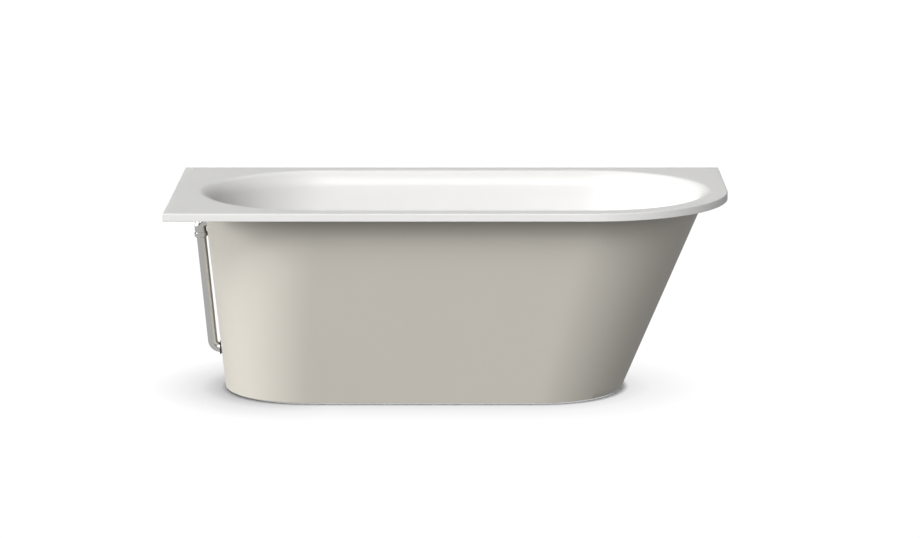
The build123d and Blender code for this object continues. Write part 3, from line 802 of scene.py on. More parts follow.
@dataclass
class Plan:
    """How the tub's plan is divided, point by point round its outline.

    Each point keeps one outward direction at all heights. Round the ends the direction turns,
    and along the sides it stays across while the point moves from one end's centre to the
    other's, so a wall between two stadiums is ruled, as the cast one is.
    """

    left_centre: float = -0.375
    right_centre: float = 0.400
    half_length: float = 0.800
    half_width: float = 0.400
    quarter: int = 48

    def __post_init__(self) -> None:
        """Work out each point's turning centre, outward direction and share of the right end."""
        right = pi / 4.0
        left = atan2(self.half_width, -self.half_length - self.left_centre)
        q = self.quarter
        legs = (
            (-QUARTER, 0.0, q, 1.0),
            (0.0, right, q // 2, 1.0),
            (right, QUARTER, q // 2, 1.0),
            (QUARTER, QUARTER, q, None),
            (QUARTER, left, q // 2, 0.0),
            (left, TURN - left, q, 0.0),
            (TURN - left, 3.0 * QUARTER, q // 2, 0.0),
            (3.0 * QUARTER, 3.0 * QUARTER, q, None),
        )
        angles, shares = [], []
        for start, end, count, share in legs:
            steps = np.linspace(0.0, 1.0, count, endpoint=False)
            angles.append(start + (end - start) * steps)
            moving = 1.0 - steps if start < pi else steps
            shares.append(moving if share is None else np.full(count, share))
        self.angle = np.concatenate(angles)
        self.share = np.concatenate(shares)
        self.out = np.stack((np.cos(self.angle), np.sin(self.angle)), axis=1)
        self.centre = self.left_centre + (self.right_centre - self.left_centre) * self.share

    def slide(self, ring: Ring) -> Array:
        """How far along X a stadium's own turning centre lies from the plan's, for each point."""
        straight = ring.right - ring.left - 2.0 * ring.radius
        return ring.left + ring.radius + straight * self.share - self.centre

    def reach(self, ring: Ring) -> Array:
        """How far out a stadium's tangent lies from each point's turning centre."""
        return ring.radius + self.slide(ring) * self.out[:, 0]

    def at(self, reach: Array, slide: Array, height: Array) -> Array:
        """Points in space.

        A point lies reach out along its direction, and across that direction by the part of
        slide that is left: x = centre + reach cos a + slide sin^2 a, y = reach sin a - slide
        sin a cos a.

        Args:
            reach: Reaches, rows by points or for one row.
            slide: Slides, in the same way.
            height: Heights, in the same way.

        Returns:
            The points, with their coordinates last.
        """
        across, up = self.out[:, 0], self.out[:, 1]
        x = self.centre + reach * across + slide * up * up
        y = reach * up - slide * up * across
        return np.stack(np.broadcast_arrays(x, y, height), axis=-1)

    def row(self, ring: Ring) -> Array:
        """One stadium's points."""
        return self.at(self.reach(ring), self.slide(ring), np.full(len(self.angle), ring.height))

    def rim_outline(self, inset: float, height: float) -> Array:
        """The rim's outline: square corners, but one quarter circle at the front right.

        Along each outward direction it is where the line from the turning centre meets the
        nearest straight edge, or the quarter circle.

        Args:
            inset: How far the whole outline is moved inwards.
            height: Its height.

        Returns:
            The points, with their coordinates last.
        """
        half_x, half_y = self.half_length - inset, self.half_width - inset
        ax, ay = np.abs(self.out).T
        edge_x = np.where(self.out[:, 0] > 0.0, half_x - self.centre, half_x + self.centre)
        edges = ((ax, edge_x), (ay, half_y))
        reach = np.minimum(
            *(np.where(a > TINY, edge / np.maximum(a, TINY), np.inf) for a, edge in edges)
        )
        quarter_circle = (self.angle < 0.0) & (self.share == 1.0)
        reach = np.where(quarter_circle, half_y, reach)
        return self.at(reach, np.zeros_like(reach), np.full_like(reach, height))


@dataclass
class TubShell:
    """The white basin and the grey apron around it."""

    plan: Plan = field(default_factory=Plan)
    top: float = 0.580
    rim_under: float = 0.5575
    rim_round: float = 0.0025
    bowl_top: Ring = field(default_factory=lambda: Ring(-0.6825, 0.722, 0.3085, 0.580))
    bowl_floor: Ring = field(default_factory=lambda: Ring(-0.644, 0.526, 0.246, 0.150))
    lip_radius: float = 0.050
    floor_round: float = 0.090
    under_round: float = 0.080
    floor_thickness: float = 0.012
    wall: float = 0.012
    haunch: float = 0.500
    edge: float = 0.001
    apron_top: Ring = field(default_factory=lambda: Ring(-0.715, 0.733, 0.334, 0.5575))
    apron_foot: Ring = field(default_factory=lambda: Ring(-0.6575, 0.4985, 0.250, 0.004))
    apron_wall: float = 0.008
    apron_edge: float = 0.0012
    bond_gap: float = 0.0005
    drain: Place = (-0.470, 0.0)
    drain_recess: float = 0.0365
    drain_hole: float = 0.025
    drain_back: float = 0.055
    recess_depth: float = 0.004
    boss_spots: tuple[Place, ...] = tuple((x, y) for x in BOLT_XS for y in BOLT_YS)
    boss_radius: float = 0.018
    boss_under: float = 0.124
    boss_sink: float = 0.003
    insert_hole: float = 0.0081
    insert_depth: float = 0.0133
    cut_start: float = 0.002
    overflow_height: float = 0.489
    pipe_height: float = 0.114
    # Bars through the left end: where each starts along X, its length and its radius.
    overflow_boss: Spot = (-0.6945, 0.012, 0.028)
    overflow_recess: Spot = (-0.6775, 0.0175, 0.0325)
    overflow_hole: Spot = (-0.730, 0.070, 0.017)
    apron_window: Spot = (-0.740, 0.085, 0.026)
    apron_entry: Spot = (-0.700, 0.060, 0.0173)
    # Rows of points on each stretch of the surfaces.
    round_steps: int = 20
    wall_steps: int = 14
    floor_steps: int = 16
    edge_steps: int = 7
    flat_steps: int = 8
    under_steps: int = 12
    slope_steps: int = 25
    bar_segments: int = 72

    def round_rows(self, low: Ring, high: Ring, radius: float, steps: int) -> Rows:
        """The round between a level face at the low ring and the wall up to the high one.

        In the upright plane of each outward direction it is centre + r (sin p, -cos p), from
        p = 0 to the wall's own direction. All its points keep the slide where it meets the wall.

        Args:
            low: Where the wall, drawn straight on, would meet the level face.
            high: The wall's other end.
            radius: The round's radius.
            steps: Rows on it.

        Returns:
            Reaches, slides and heights, rows by points, from the level face to the wall.
        """
        low_reach, high_reach = self.plan.reach(low), self.plan.reach(high)
        rise = high.height - low.height
        quarter = QUARTER - np.arctan((high_reach - low_reach) / rise)
        p = np.linspace(0.0, 1.0, steps)[:, None] * quarter
        reach = low_reach + radius * (np.sin(p) - np.tan(quarter / 2.0))
        height = low.height + radius * (1.0 - np.cos(p))
        return self.with_slide(low, high, reach, height, height[-1])

    def with_slide(
        self, low: Ring, high: Ring, reach: Array, height: Array, meeting: Array
    ) -> Rows:
        """Add to a round the slide that the wall has where they meet.

        Args:
            low: The wall's lower end.
            high: Its upper end.
            reach: The round's reaches, rows by points.
            height: Its heights, rows by points.
            meeting: The height of the meeting, for each point.

        Returns:
            Reaches, slides and heights, rows by points.
        """
        low_slide, high_slide = self.plan.slide(low), self.plan.slide(high)
        rise = high.height - low.height
        slide = low_slide + (high_slide - low_slide) * (meeting - low.height) / rise
        return reach, np.broadcast_to(slide, reach.shape), height

    def lip_rows(self, steps: int) -> Rows:
        """The lip from the bowl's wall up to the flat rim.

        It is centre + r (-cos q, sin q), with q from the wall's lean to 90 degrees.

        Args:
            steps: Rows on it.

        Returns:
            Reaches, slides and heights, rows by points, from the wall to the rim.
        """
        low, high, radius = self.bowl_floor, self.bowl_top, self.lip_radius
        low_reach, high_reach = self.plan.reach(low), self.plan.reach(high)
        lean = np.arctan((high_reach - low_reach) / (high.height - low.height))
        q = lean + np.linspace(0.0, 1.0, steps)[:, None] * (QUARTER - lean)
        reach = high_reach + radius * (np.tan((QUARTER - lean) / 2.0) - np.cos(q))
        height = self.top - radius * (1.0 - np.sin(q))
        return self.with_slide(low, high, reach, height, height[0])

    def inside_rows(self) -> Array:
        """The bowl's inside face.

        Returns:
            Rows by points by 3, from its flat floor over the straight wall to the flat rim.
        """
        floor = self.round_rows(self.bowl_floor, self.bowl_top, self.floor_round, self.round_steps)
        lip = self.lip_rows(self.round_steps)
        t = np.linspace(0.0, 1.0, self.wall_steps)[1:-1, None]
        wall = [a[-1] + (b[0] - a[-1]) * t for a, b in zip(floor, lip)]
        return self.plan.at(*(np.concatenate(part) for part in zip(floor, wall, lip)))

    def circle_rows(self, ring: Array, *circles: Place) -> Array:
        """Circles about the drain whose points face those of a ring.

        Args:
            ring: The ring's points.
            circles: (radius, height) of each circle.

        Returns:
            Circles by points by 3.
        """
        radii, heights = np.array(circles).T[:, :, None, None]
        flat = np.array(self.drain) + radii * unit(ring[:, :2] - np.array(self.drain))
        return np.concatenate((flat, np.broadcast_to(heights, flat.shape[:2] + (1,))), axis=2)

    def between(self, start: Array, end: Array, steps: int) -> Array:
        """Rows on the straight way between two rows, without those two."""
        return start + (end - start) * np.linspace(0.0, 1.0, steps)[1:-1, None, None]

    def basin_surface(self) -> Array:
        """The whole skin of the basin.

        Returns:
            Rows by points by 3, from the drain hole out over the rim and back below.
        """
        plan, e, edge, recess = self.plan, self.rim_round, self.edge, self.drain_recess
        inside, floor_top = self.inside_rows(), self.bowl_floor.height
        seat = floor_top - self.recess_depth
        hub = self.circle_rows(
            inside[0],
            (self.drain_hole, seat),
            (recess, seat),
            (recess, floor_top - edge),
            (recess + edge, floor_top),
        )
        turn = np.linspace(0.0, QUARTER, self.edge_steps)
        rim = [plan.rim_outline(e * (1 - sin(a)), self.top - e * (1 - cos(a))) for a in turn]
        low = self.rim_under
        side = [plan.rim_outline(0.0, low + edge), plan.rim_outline(edge, low)]
        under = self.bowl_floor.grown(self.wall, floor_top - self.floor_thickness)
        haunch = self.bowl_floor.towards(self.bowl_top, self.haunch).grown(self.wall)
        seat_ring = self.apron_top.grown(-self.apron_wall - self.bond_gap)
        outside = [plan.row(seat_ring), plan.row(haunch)]
        round_under = self.round_rows(under, haunch, self.under_round, self.under_steps)
        back = [(radius, under.height) for radius in (self.drain_back, self.drain_hole)]
        floor = self.between(hub[-1], inside[0], self.floor_steps)
        flat = self.between(inside[-1], rim[0], self.flat_steps)
        lower = plan.at(*round_under)[::-1]
        ends = self.circle_rows(inside[0], *back)
        return np.concatenate((hub, floor, inside, flat, rim, side, outside, lower, ends))

    def apron_surface(self) -> Array:
        """The apron's skin: straight slopes outside and inside, with a small round at its foot.

        Returns:
            Rows by points by 3.
        """
        plan, foot, rim, edge = self.plan, self.apron_foot, self.apron_top, self.apron_edge
        steps = np.linspace(0.0, 1.0, self.slope_steps)
        heights = foot.height + edge + (rim.height - foot.height - edge) * steps
        slopes = [foot.towards(rim, z) for z in heights]
        outside = [plan.row(ring) for ring in slopes]
        inside = [plan.row(ring.grown(-self.apron_wall)) for ring in reversed(slopes)]
        toe = [plan.row(foot.grown(edge - self.apron_wall)), plan.row(foot.grown(-edge))]
        return np.array(toe + outside + inside)

    def bar(self, start: Spot, length: float, radius: float, way: Spot = UPRIGHT) -> Object:
        """A round bar to join to or cut out of a casting.

        Args:
            start: The middle of its first end.
            length: Its length.
            radius: Its radius.
            way: Where it runs.

        Returns:
            The bar.
        """
        profile = [(0.0, 0.0), (radius, 0.0), (radius, length), (0.0, length)]
        return mesh_object("bar", [turned(profile, start, way, self.bar_segments)])

    def end_bar(self, size: Spot, height: float) -> Object:
        """A round bar along X through the left end, of a start, a length and a radius."""
        return self.bar((size[0], 0.0, height), size[1], size[2], ALONG_X)

    def build(self) -> None:
        """Make the basin and the apron, with their bosses and holes."""
        basin = mesh_object("basin_casting", [(self.basin_surface(), True, True)])
        rise = self.bowl_floor.height - self.floor_thickness + self.boss_sink - self.boss_under
        depth, start = self.insert_depth + self.cut_start, self.boss_under - self.cut_start
        spots, level = self.boss_spots, self.overflow_height
        bosses = [self.bar((*spot, self.boss_under), rise, self.boss_radius) for spot in spots]
        holes = [self.bar((*spot, start), depth, self.insert_hole) for spot in spots]
        carve(basin, bosses + [self.end_bar(self.overflow_boss, level)], Carving.JOIN)
        through = (self.overflow_recess, self.overflow_hole)
        carve(basin, holes + [self.end_bar(size, level) for size in through])
        fit_out(basin, "white_stone", ROOT, "basin")
        apron = mesh_object("apron_shell", [(self.apron_surface(), True, True)])
        window = self.end_bar(self.apron_window, level)
        carve(apron, [window, self.end_bar(self.apron_entry, self.pipe_height)])
        fit_out(apron, "grey_stone", ROOT, "apron")


@dataclass
class OverflowSet:
    """The elbow outside the bowl, the pipe down the left end with its nuts, and the cover."""

    level: float = 0.489
    corner_x: float = -0.7278
    lean: float = radians(5.3)
    leg_height: float = 0.114
    shoulder_x: float = -0.514
    flange_x: float = -0.6965
    flange_thickness: float = 0.003
    flange_radius: float = 0.023
    neck_end_x: float = -0.683
    neck_radius: float = 0.015
    neck_bore: float = 0.0125
    head_radius: float = 0.017
    head_bend: float = 0.018
    head_leg: float = 0.033
    head_ease: float = 0.0006
    bend_lead: float = 1.1
    spigot_radius: float = 0.0156
    spigot_length: float = 0.0086
    pipe_radius: float = 0.014
    pipe_wall: float = 0.0015
    pipe_bend: float = 0.023
    bend_steps: int = 32
    insert: float = 0.003
    crossbar_x: Place = (-0.692, -0.687)
    crossbar_half: float = 0.003
    crossbar_bite: float = 0.0012
    nut_radius: float = 0.0193
    nut_length: float = 0.0143
    nut_chamfer: float = 0.0036
    nut_lip: float = 0.0028
    nut_rounds: Spot = (0.0006, 0.0008, 0.0005)
    nut_segments: int = 72
    seat_gap: float = 0.0003
    clearance: float = 0.0001
    cover_x: float = -0.676
    cover_radius: float = 0.032
    cover_depth: float = 0.0095
    cover_wall: float = 0.0025
    cover_plate: float = 0.002
    cover_rounds: Spot = (0.0003, 0.0015, 0.0006)
    cover_steps: int = 8
    slot_reach: Place = (0.002, 0.0065)
    slot_half: float = 0.016
    slot_rise: float = 0.009
    screw_radius: float = 0.0025
    screw_start_x: float = -0.692
    screw_head: float = 0.005
    screw_head_height: float = 0.0022
    screw_rounds: Spot = (0.0003, 0.0002, 0.0011)
    screw_segments: int = 48
    cross_depth: float = 0.0009
    cross_over: float = 0.001
    cross_arm: float = 0.0024
    cross_half: float = 0.0005

    def down(self) -> Array:
        """The pipe's way down, leaning in with the apron."""
        return np.array((sin(self.lean), 0.0, -cos(self.lean)))

    def corner(self) -> Array:
        """Where the elbow's level run and the pipe's line meet."""
        return np.array((self.corner_x, 0.0, self.level))

    def shoulder(self) -> Array:
        """Where the elbow's thick part ends and its spigot starts."""
        return self.corner() + self.down() * self.head_leg

    def head(self) -> None:
        """The elbow: neck, flange, bend and spigot, bored through, with a bar for the screw."""
        end = self.shoulder() + self.down() * self.spigot_length
        ends = [(self.neck_end_x, 0.0, self.level), tuple(self.corner()), tuple(end)]
        path = bent_path(ends, [self.head_bend], self.bend_steps)
        total = float(run_length(path)[-1])
        shoulder = total - self.spigot_length
        flange = self.neck_end_x - self.flange_x
        behind = flange + self.flange_thickness
        bend_start = self.neck_end_x - self.corner_x - self.head_bend * self.bend_lead
        seat = shoulder - self.insert - self.seat_gap
        ease, neck = self.head_ease, self.neck_radius
        rim, thick = self.flange_radius, self.head_radius
        profile = [
            (self.neck_bore, 0.0),
            (neck - ease, 0.0),
            (neck, ease),
            (neck, flange),
            (rim - ease, flange),
            (rim, flange + ease),
            (rim, behind - ease),
            (rim - ease, behind),
            (neck + ease, behind),
            (neck, behind + ease),
            (neck, bend_start - ease),
            (thick - ease, bend_start),
            (thick, bend_start + ease),
            (thick, shoulder - ease),
            (thick - ease, shoulder),
            (self.spigot_radius, shoulder),
            (self.spigot_radius, total),
            (self.pipe_radius + self.clearance, total),
            (self.pipe_radius + self.clearance, seat),
            (self.neck_bore, seat),
        ]
        head = mesh_object("overflow_elbow", [sheath(path, profile)])
        half, rise = self.neck_bore + self.crossbar_bite, self.crossbar_half
        (near, far), level = self.crossbar_x, self.level
        crossbar = block("crossbar", (near, -half, level - rise), (far, half, level + rise))
        carve(head, [crossbar], Carving.JOIN)
        fit_out(head, "chrome", ROOT, "overflow_head")

    def pipe(self) -> None:
        """The pipe from the elbow down the left end and in through the apron."""
        start = self.shoulder() - self.down() * self.insert
        low = self.corner() + self.down() * (self.level - self.leg_height) / cos(self.lean)
        end = (self.shoulder_x + self.insert, 0.0, self.leg_height)
        path = bent_path([tuple(start), tuple(low), end], [self.pipe_bend], self.bend_steps)
        total, outer = float(run_length(path)[-1]), self.pipe_radius
        bore = outer - self.pipe_wall
        grid = sheath(path, [(bore, 0.0), (outer, 0.0), (outer, total), (bore, total)])
        fit_out("overflow_pipe_chrome", "chrome", ROOT, "overflow_pipe", grid)

    def nut(self, name: str, node: str, origin: Array, direction: Array) -> None:
        """A compression nut: a smooth band, a sloping lip, and the bore and recess inside.

        Args:
            name: The piece's name.
            node: The node that it stands for.
            origin: The shoulder that it screws up to.
            direction: The way from the shoulder to the nut's lip.
        """
        fit = self.pipe_radius + 2.0 * self.clearance
        thread = self.spigot_radius + self.clearance
        outer, length = self.nut_radius, self.nut_length
        chamfer, lip = self.nut_chamfer, self.nut_lip
        first, second, third = self.nut_rounds
        corners = [
            (thread, 0.0, 0.0),
            (outer, 0.0, first),
            (outer, length - chamfer, second),
            (outer - chamfer, length, third),
            (fit, length, 0.0),
            (fit, length - lip, 0.0),
            (thread, length - lip, 0.0),
        ]
        spot = tuple(origin + direction * self.seat_gap)
        grid = turned(rounded(corners), spot, tuple(direction), self.nut_segments)
        fit_out(name, "chrome", ROOT, node, grid)

    def cover(self) -> None:
        """The cover: a dished round cap with a slot at its foot that lets the water in."""
        outer, depth = self.cover_radius, self.cover_depth
        inner = outer - self.cover_wall
        plate, hole = depth - self.cover_plate, self.screw_radius + self.clearance
        first, second, third = self.cover_rounds
        corners = [
            (inner, 0.0, 0.0),
            (outer, 0.0, first),
            (outer, depth, second),
            (hole, depth, 0.0),
            (hole, plate, 0.0),
            (inner, plate, third),
        ]
        spot = (self.cover_x, 0.0, self.level)
        grid = turned(rounded(corners, self.cover_steps), spot, ALONG_X, FINE)
        cover = mesh_object("overflow_cover_plate", [grid])
        foot = self.level - self.cover_radius
        near, far = (self.cover_x + reach for reach in self.slot_reach)
        low = (near, -self.slot_half, foot - self.slot_rise)
        carve(cover, [block("slot", low, (far, self.slot_half, foot + self.slot_rise))])
        fit_out(cover, "chrome", ROOT, "overflow_cover")

    def screw(self) -> None:
        """The cover's screw: a domed head with a cross cut into it."""
        seat = self.cover_x + self.cover_depth - self.screw_start_x
        top, shank, head = seat + self.screw_head_height, self.screw_radius, self.screw_head
        first, second, third = self.screw_rounds
        corners = [(0.0, 0.0, 0.0), (shank, 0.0, first), (shank, seat, 0.0)]
        corners += [(head, seat, second), (head, top, third), (0.0, top, 0.0)]
        spot = (self.screw_start_x, 0.0, self.level)
        grid = turned(rounded(corners), spot, ALONG_X, self.screw_segments)
        screw = mesh_object("overflow_cover_screw", [grid])
        face, arms = self.screw_start_x + top, (self.cross_arm, self.cross_half)
        cuts = []
        for half_y, half_z in (arms, arms[::-1]):
            low = (face - self.cross_depth, -half_y, self.level - half_z)
            cuts.append(block("cross", low, (face + self.cross_over, half_y, self.level + half_z)))
        carve(screw, cuts)
        fit_out(screw, "chrome", ROOT, "overflow_screw")

    def build(self) -> None:
        """Make the elbow, the pipe, both nuts, the cover and its screw."""
        self.head()
        self.pipe()
        self.nut("overflow_nut_top", "overflow_top_nut", self.shoulder(), self.down())
        low = np.array((self.shoulder_x, 0.0, self.leg_height))
        self.nut("overflow_nut_low", "overflow_bottom_nut", low, np.array((-1.0, 0.0, 0.0)))
        self.cover()
        self.screw()


@dataclass
class WasteSet:
    """What shows of the waste in the bowl's floor: the flange, and the plug's cap and seal."""

    x: float = -0.470
    top: float = 0.150
    flange_radius: float = 0.036
    flange_thickness: float = 0.0025
    flange_chamfer: float = 0.00125
    flange_rounds: tuple[float, ...] = (0.0003, 0.0004, 0.0002, 0.0005, 0.0012)
    tail_radius: float = 0.021
    tail_bore: float = 0.018
    tail_under: float = 0.124
    hub_bore: float = 0.0091
    hub_radius: float = 0.0121
    hub_top: float = 0.1365
    hub_height: float = 0.006
    spoke: float = 0.0015
    spoke_bites: Place = (0.0005, 0.0008)
    cap_radius: float = 0.030
    cap_under: float = 0.1523
    cap_top: float = 0.1559
    cap_hole: float = 0.0031
    cap_hollow: float = 0.0018
    cap_chamfer: float = 0.0004
    cap_round: float = 0.002
    dome_rise: float = 0.0005
    dome_steps: int = 9
    rim_steps: int = 7
    seal_radius: float = 0.024
    seal_under: float = 0.1503
    seal_groove: float = 0.0006
    # The seal's lips, as distances in from its edge.
    lip_stops: tuple[float, ...] = (0.006, 0.0055, 0.003, 0.0025)
    seal_edge: float = 0.0003

    def flange(self) -> None:
        """The flange with its tail, and the hub on four spokes that carries the plug."""
        under, rim = self.top - self.flange_thickness, self.flange_radius
        tail, bore = self.tail_radius, self.tail_bore
        chamfer, rounds = self.flange_chamfer, self.flange_rounds
        corners = [
            (bore, self.tail_under, rounds[0]),
            (tail, self.tail_under, rounds[1]),
            (tail, under, 0.0),
            (rim, under, 0.0),
            (rim, under + chamfer, rounds[2]),
            (rim - chamfer, self.top, rounds[3]),
            (bore, self.top, rounds[4]),
        ]
        place = (self.x, 0.0, 0.0)
        flange = mesh_object("waste_flange", [turned(rounded(corners), place, segments=FINE)])
        low, high, hub = self.hub_top - self.hub_height, self.hub_top, self.hub_radius
        profile = [(self.hub_bore, low), (hub, low), (hub, high), (self.hub_bore, high)]
        parts = [mesh_object("hub", [turned(profile, place)])]
        inner, outer = hub - self.spoke_bites[0], bore + self.spoke_bites[1]
        x, half = self.x, self.spoke
        for a, b in ((inner, outer), (-outer, -inner)):
            parts.append(block("spoke", (x + a, -half, low), (x + b, half, high)))
            parts.append(block("spoke", (x - half, a, low), (x + half, b, high)))
        carve(flange, parts, Carving.JOIN)
        fit_out(flange, "chrome", ROOT, "drain_flange")

    def cap(self) -> None:
        """The plug's cap, slightly domed, with a rounded edge."""
        low, high, hole, r = self.cap_under, self.cap_top, self.cap_hole, self.cap_round
        out = 1 - np.linspace(0.0, 1.0, self.dome_steps)[:-1]
        edge, hollow, bevel = self.cap_radius - r, low + self.cap_hollow, self.cap_chamfer
        dome = np.stack((edge * out, high - self.dome_rise * out**2), axis=1).tolist()
        middle = high - r - self.dome_rise
        angles = np.linspace(0.0, QUARTER, self.rim_steps)[:-1]
        profile = [(0.0, hollow), (hole, hollow), (hole, low), (self.cap_radius - bevel, low)]
        profile += [(self.cap_radius, low + bevel)]
        profile += [(edge + r * cos(a), middle + r * sin(a)) for a in angles]
        profile += [tuple(spot) for spot in dome] + [(0.0, high)]
        grid = turned(profile, (self.x, 0.0, 0.0), segments=FINE)
        fit_out("plug_cap_chrome", "chrome", "plug", "plug_cap", grid)

    def seal(self) -> None:
        """The plug's soft seal, with two lips below."""
        low, high, edge, hole = self.seal_under, self.cap_under, self.seal_radius, self.cap_hole
        up = low + self.seal_groove
        stops = zip(self.lip_stops, (low, up, up, low))
        profile = [(hole, low)] + [(edge - stop, height) for stop, height in stops]
        profile += [(edge - self.seal_groove, low), (edge, up)]
        profile += [(edge, high - self.seal_edge), (hole, high)]
        grid = turned(profile, (self.x, 0.0, 0.0), segments=FINE)
        fit_out("plug_seal_ring", "black_rubber", "plug", "plug_seal", grid)

    def build(self) -> None:
        """Make the flange, the plug's cap and its seal."""
        self.flange()
        self.cap()
        self.seal()


@dataclass
class TrapRun:
    """The white trap under the waste and the elbow down to the floor, with their ribbed nuts."""

    drain_x: float = -0.470
    top: float = 0.082
    low: float = 0.030
    outlet: float = 0.094
    far_x: float = -0.404
    end_x: float = -0.336
    elbow_x: float = -0.300
    elbow_end: float = 0.008
    radius: float = 0.020
    wall: float = 0.002
    flange_radius: float = 0.0235
    flange_thickness: float = 0.003
    flange_ease: float = 0.0005
    fillet: float = 0.0008
    tip: float = 0.0006
    socket_radius: float = 0.024
    socket_length: float = 0.020
    socket_ease: float = 0.0004
    socket_slope: float = 0.0012
    bends: Spot = (0.032, 0.032, 0.030)
    bend_steps: int = 28
    gap: float = 0.0003
    fit: float = 0.0002
    nut_lip: float = 0.004
    nut_nose: tuple[Place, ...] = ((0.003, 0.0), (0.001, 0.0008), (0.0, 0.003))
    nut_edge: float = 0.0008
    nut_stops: Place = (0.0035, 0.0015)
    grip_ends: Place = (0.0032, 0.0012)
    stop_count: int = 5
    ribs: int = 24
    rib_depth: float = 0.0012
    # Each nut's radius, length and thread radius, and where the face of its lip lies.
    union_size: Spot = (0.029, 0.020, 0.0241)
    union_under: float = 0.0747
    slip_size: Spot = (0.0285, 0.018, 0.0241)
    slip_x: float = -0.3637

    def trap(self) -> None:
        """The U of the trap, flanged at its top."""
        spots = ((self.drain_x, self.top), (self.drain_x, self.low), (self.far_x, self.low))
        spots += ((self.far_x, self.outlet), (self.end_x, self.outlet))
        path = bent_path([(x, 0.0, z) for x, z in spots], list(self.bends), self.bend_steps)
        total, outer = float(run_length(path)[-1]), self.radius
        bore, flange, t = outer - self.wall, self.flange_radius, self.flange_thickness
        ease, fillet, tip = self.flange_ease, self.fillet, self.tip
        profile = [(bore, 0.0), (flange - ease, 0.0), (flange, ease), (flange, t - ease)]
        profile += [(flange - ease, t), (outer + fillet, t), (outer, t + fillet)]
        profile += [(outer, total - tip), (outer - tip, total), (bore, total)]
        fit_out("trap_pipe", "white_plastic", ROOT, "trap_bend", sheath(path, profile))

    def elbow(self) -> None:
        """The elbow, with the socket that takes the trap's end."""
        spots = ((self.end_x - self.socket_length, self.outlet), (self.elbow_x, self.outlet))
        spots += ((self.elbow_x, self.elbow_end),)
        path = bent_path([(x, 0.0, z) for x, z in spots], [self.bends[2]], self.bend_steps)
        total, outer, big = float(run_length(path)[-1]), self.radius, self.socket_radius
        bore, mouth, deep = outer - self.wall, outer + self.fit, self.socket_length + self.gap
        back, ease, slope = deep + self.wall, self.socket_ease, self.socket_slope
        profile = [(mouth, 0.0), (big - ease, 0.0), (big, ease), (big, back - slope)]
        profile += [(big - slope, back), (outer, back + ease), (outer, total), (bore, total)]
        profile += [(bore, deep), (mouth, deep)]
        fit_out("outlet_pipe", "white_plastic", ROOT, "outlet_elbow", sheath(path, profile))

    def nut(self, name: str, node: str, spot: Spot, way: Spot, size: Spot) -> None:
        """A slip nut with a ribbed grip between two smooth bands.

        Args:
            name: The piece's name.
            node: The node that it stands for.
            spot: The middle of the face of its lip.
            way: The way from its lip to its open end.
            size: Its radius, length and thread radius.
        """
        outer, length, thread = size
        lip, fit, edge = self.nut_lip, self.radius + self.fit, self.nut_edge
        stops = np.linspace(self.nut_stops[0], length - self.nut_stops[1], self.stop_count)
        profile = [(fit, 0.0)] + [(outer - cut, reach) for cut, reach in self.nut_nose]
        profile += [(outer, float(stop)) for stop in stops]
        profile += [(outer, length - edge), (outer - edge, length), (thread, length)]
        profile += [(thread, lip), (fit, lip)]
        grip = (self.grip_ends[0], length - self.grip_ends[1])
        grid = ribbed(profile, spot, way, grip, self.ribs, self.rib_depth)
        fit_out(name, "white_plastic", ROOT, node, grid)

    def build(self) -> None:
        """Make the trap, the elbow and both nuts."""
        self.trap()
        self.elbow()
        union, slip = (self.drain_x, 0.0, self.union_under), (self.slip_x, 0.0, self.outlet)
        self.nut("trap_nut", "trap_union_nut", union, UPRIGHT, self.union_size)
        self.nut("outlet_slip_nut", "outlet_nut", slip, ALONG_X, self.slip_size)


@dataclass
class SteelFrame:
    """The bolts that hold the frame to the bowl; its tubes stay as they are built."""

    spots: tuple[Place, ...] = tuple((x, y) for y in BOLT_YS for x in BOLT_XS)
    flats: float = 0.013
    under: float = 0.0901
    top: float = 0.0954
    bevel: float = 0.0008
    shank: float = 0.004
    shank_top: float = 0.135
    sink: float = 0.0002
    thread: Place = (0.00125, 0.0006)

    def build(self) -> None:
        """Make the six bolts with bevelled heads and threaded ends, as one piece."""
        grids, start = [], self.top - self.sink
        for place in self.spots:
            grids.append(hexagon(self.flats, self.under, self.top, place, bevel=self.bevel))
            grids.append(threaded(self.shank, start, self.shank_top, place, *self.thread))
        fit_out("frame_bolt_set", "zinc_steel", ROOT, "frame_bolts", *grids)


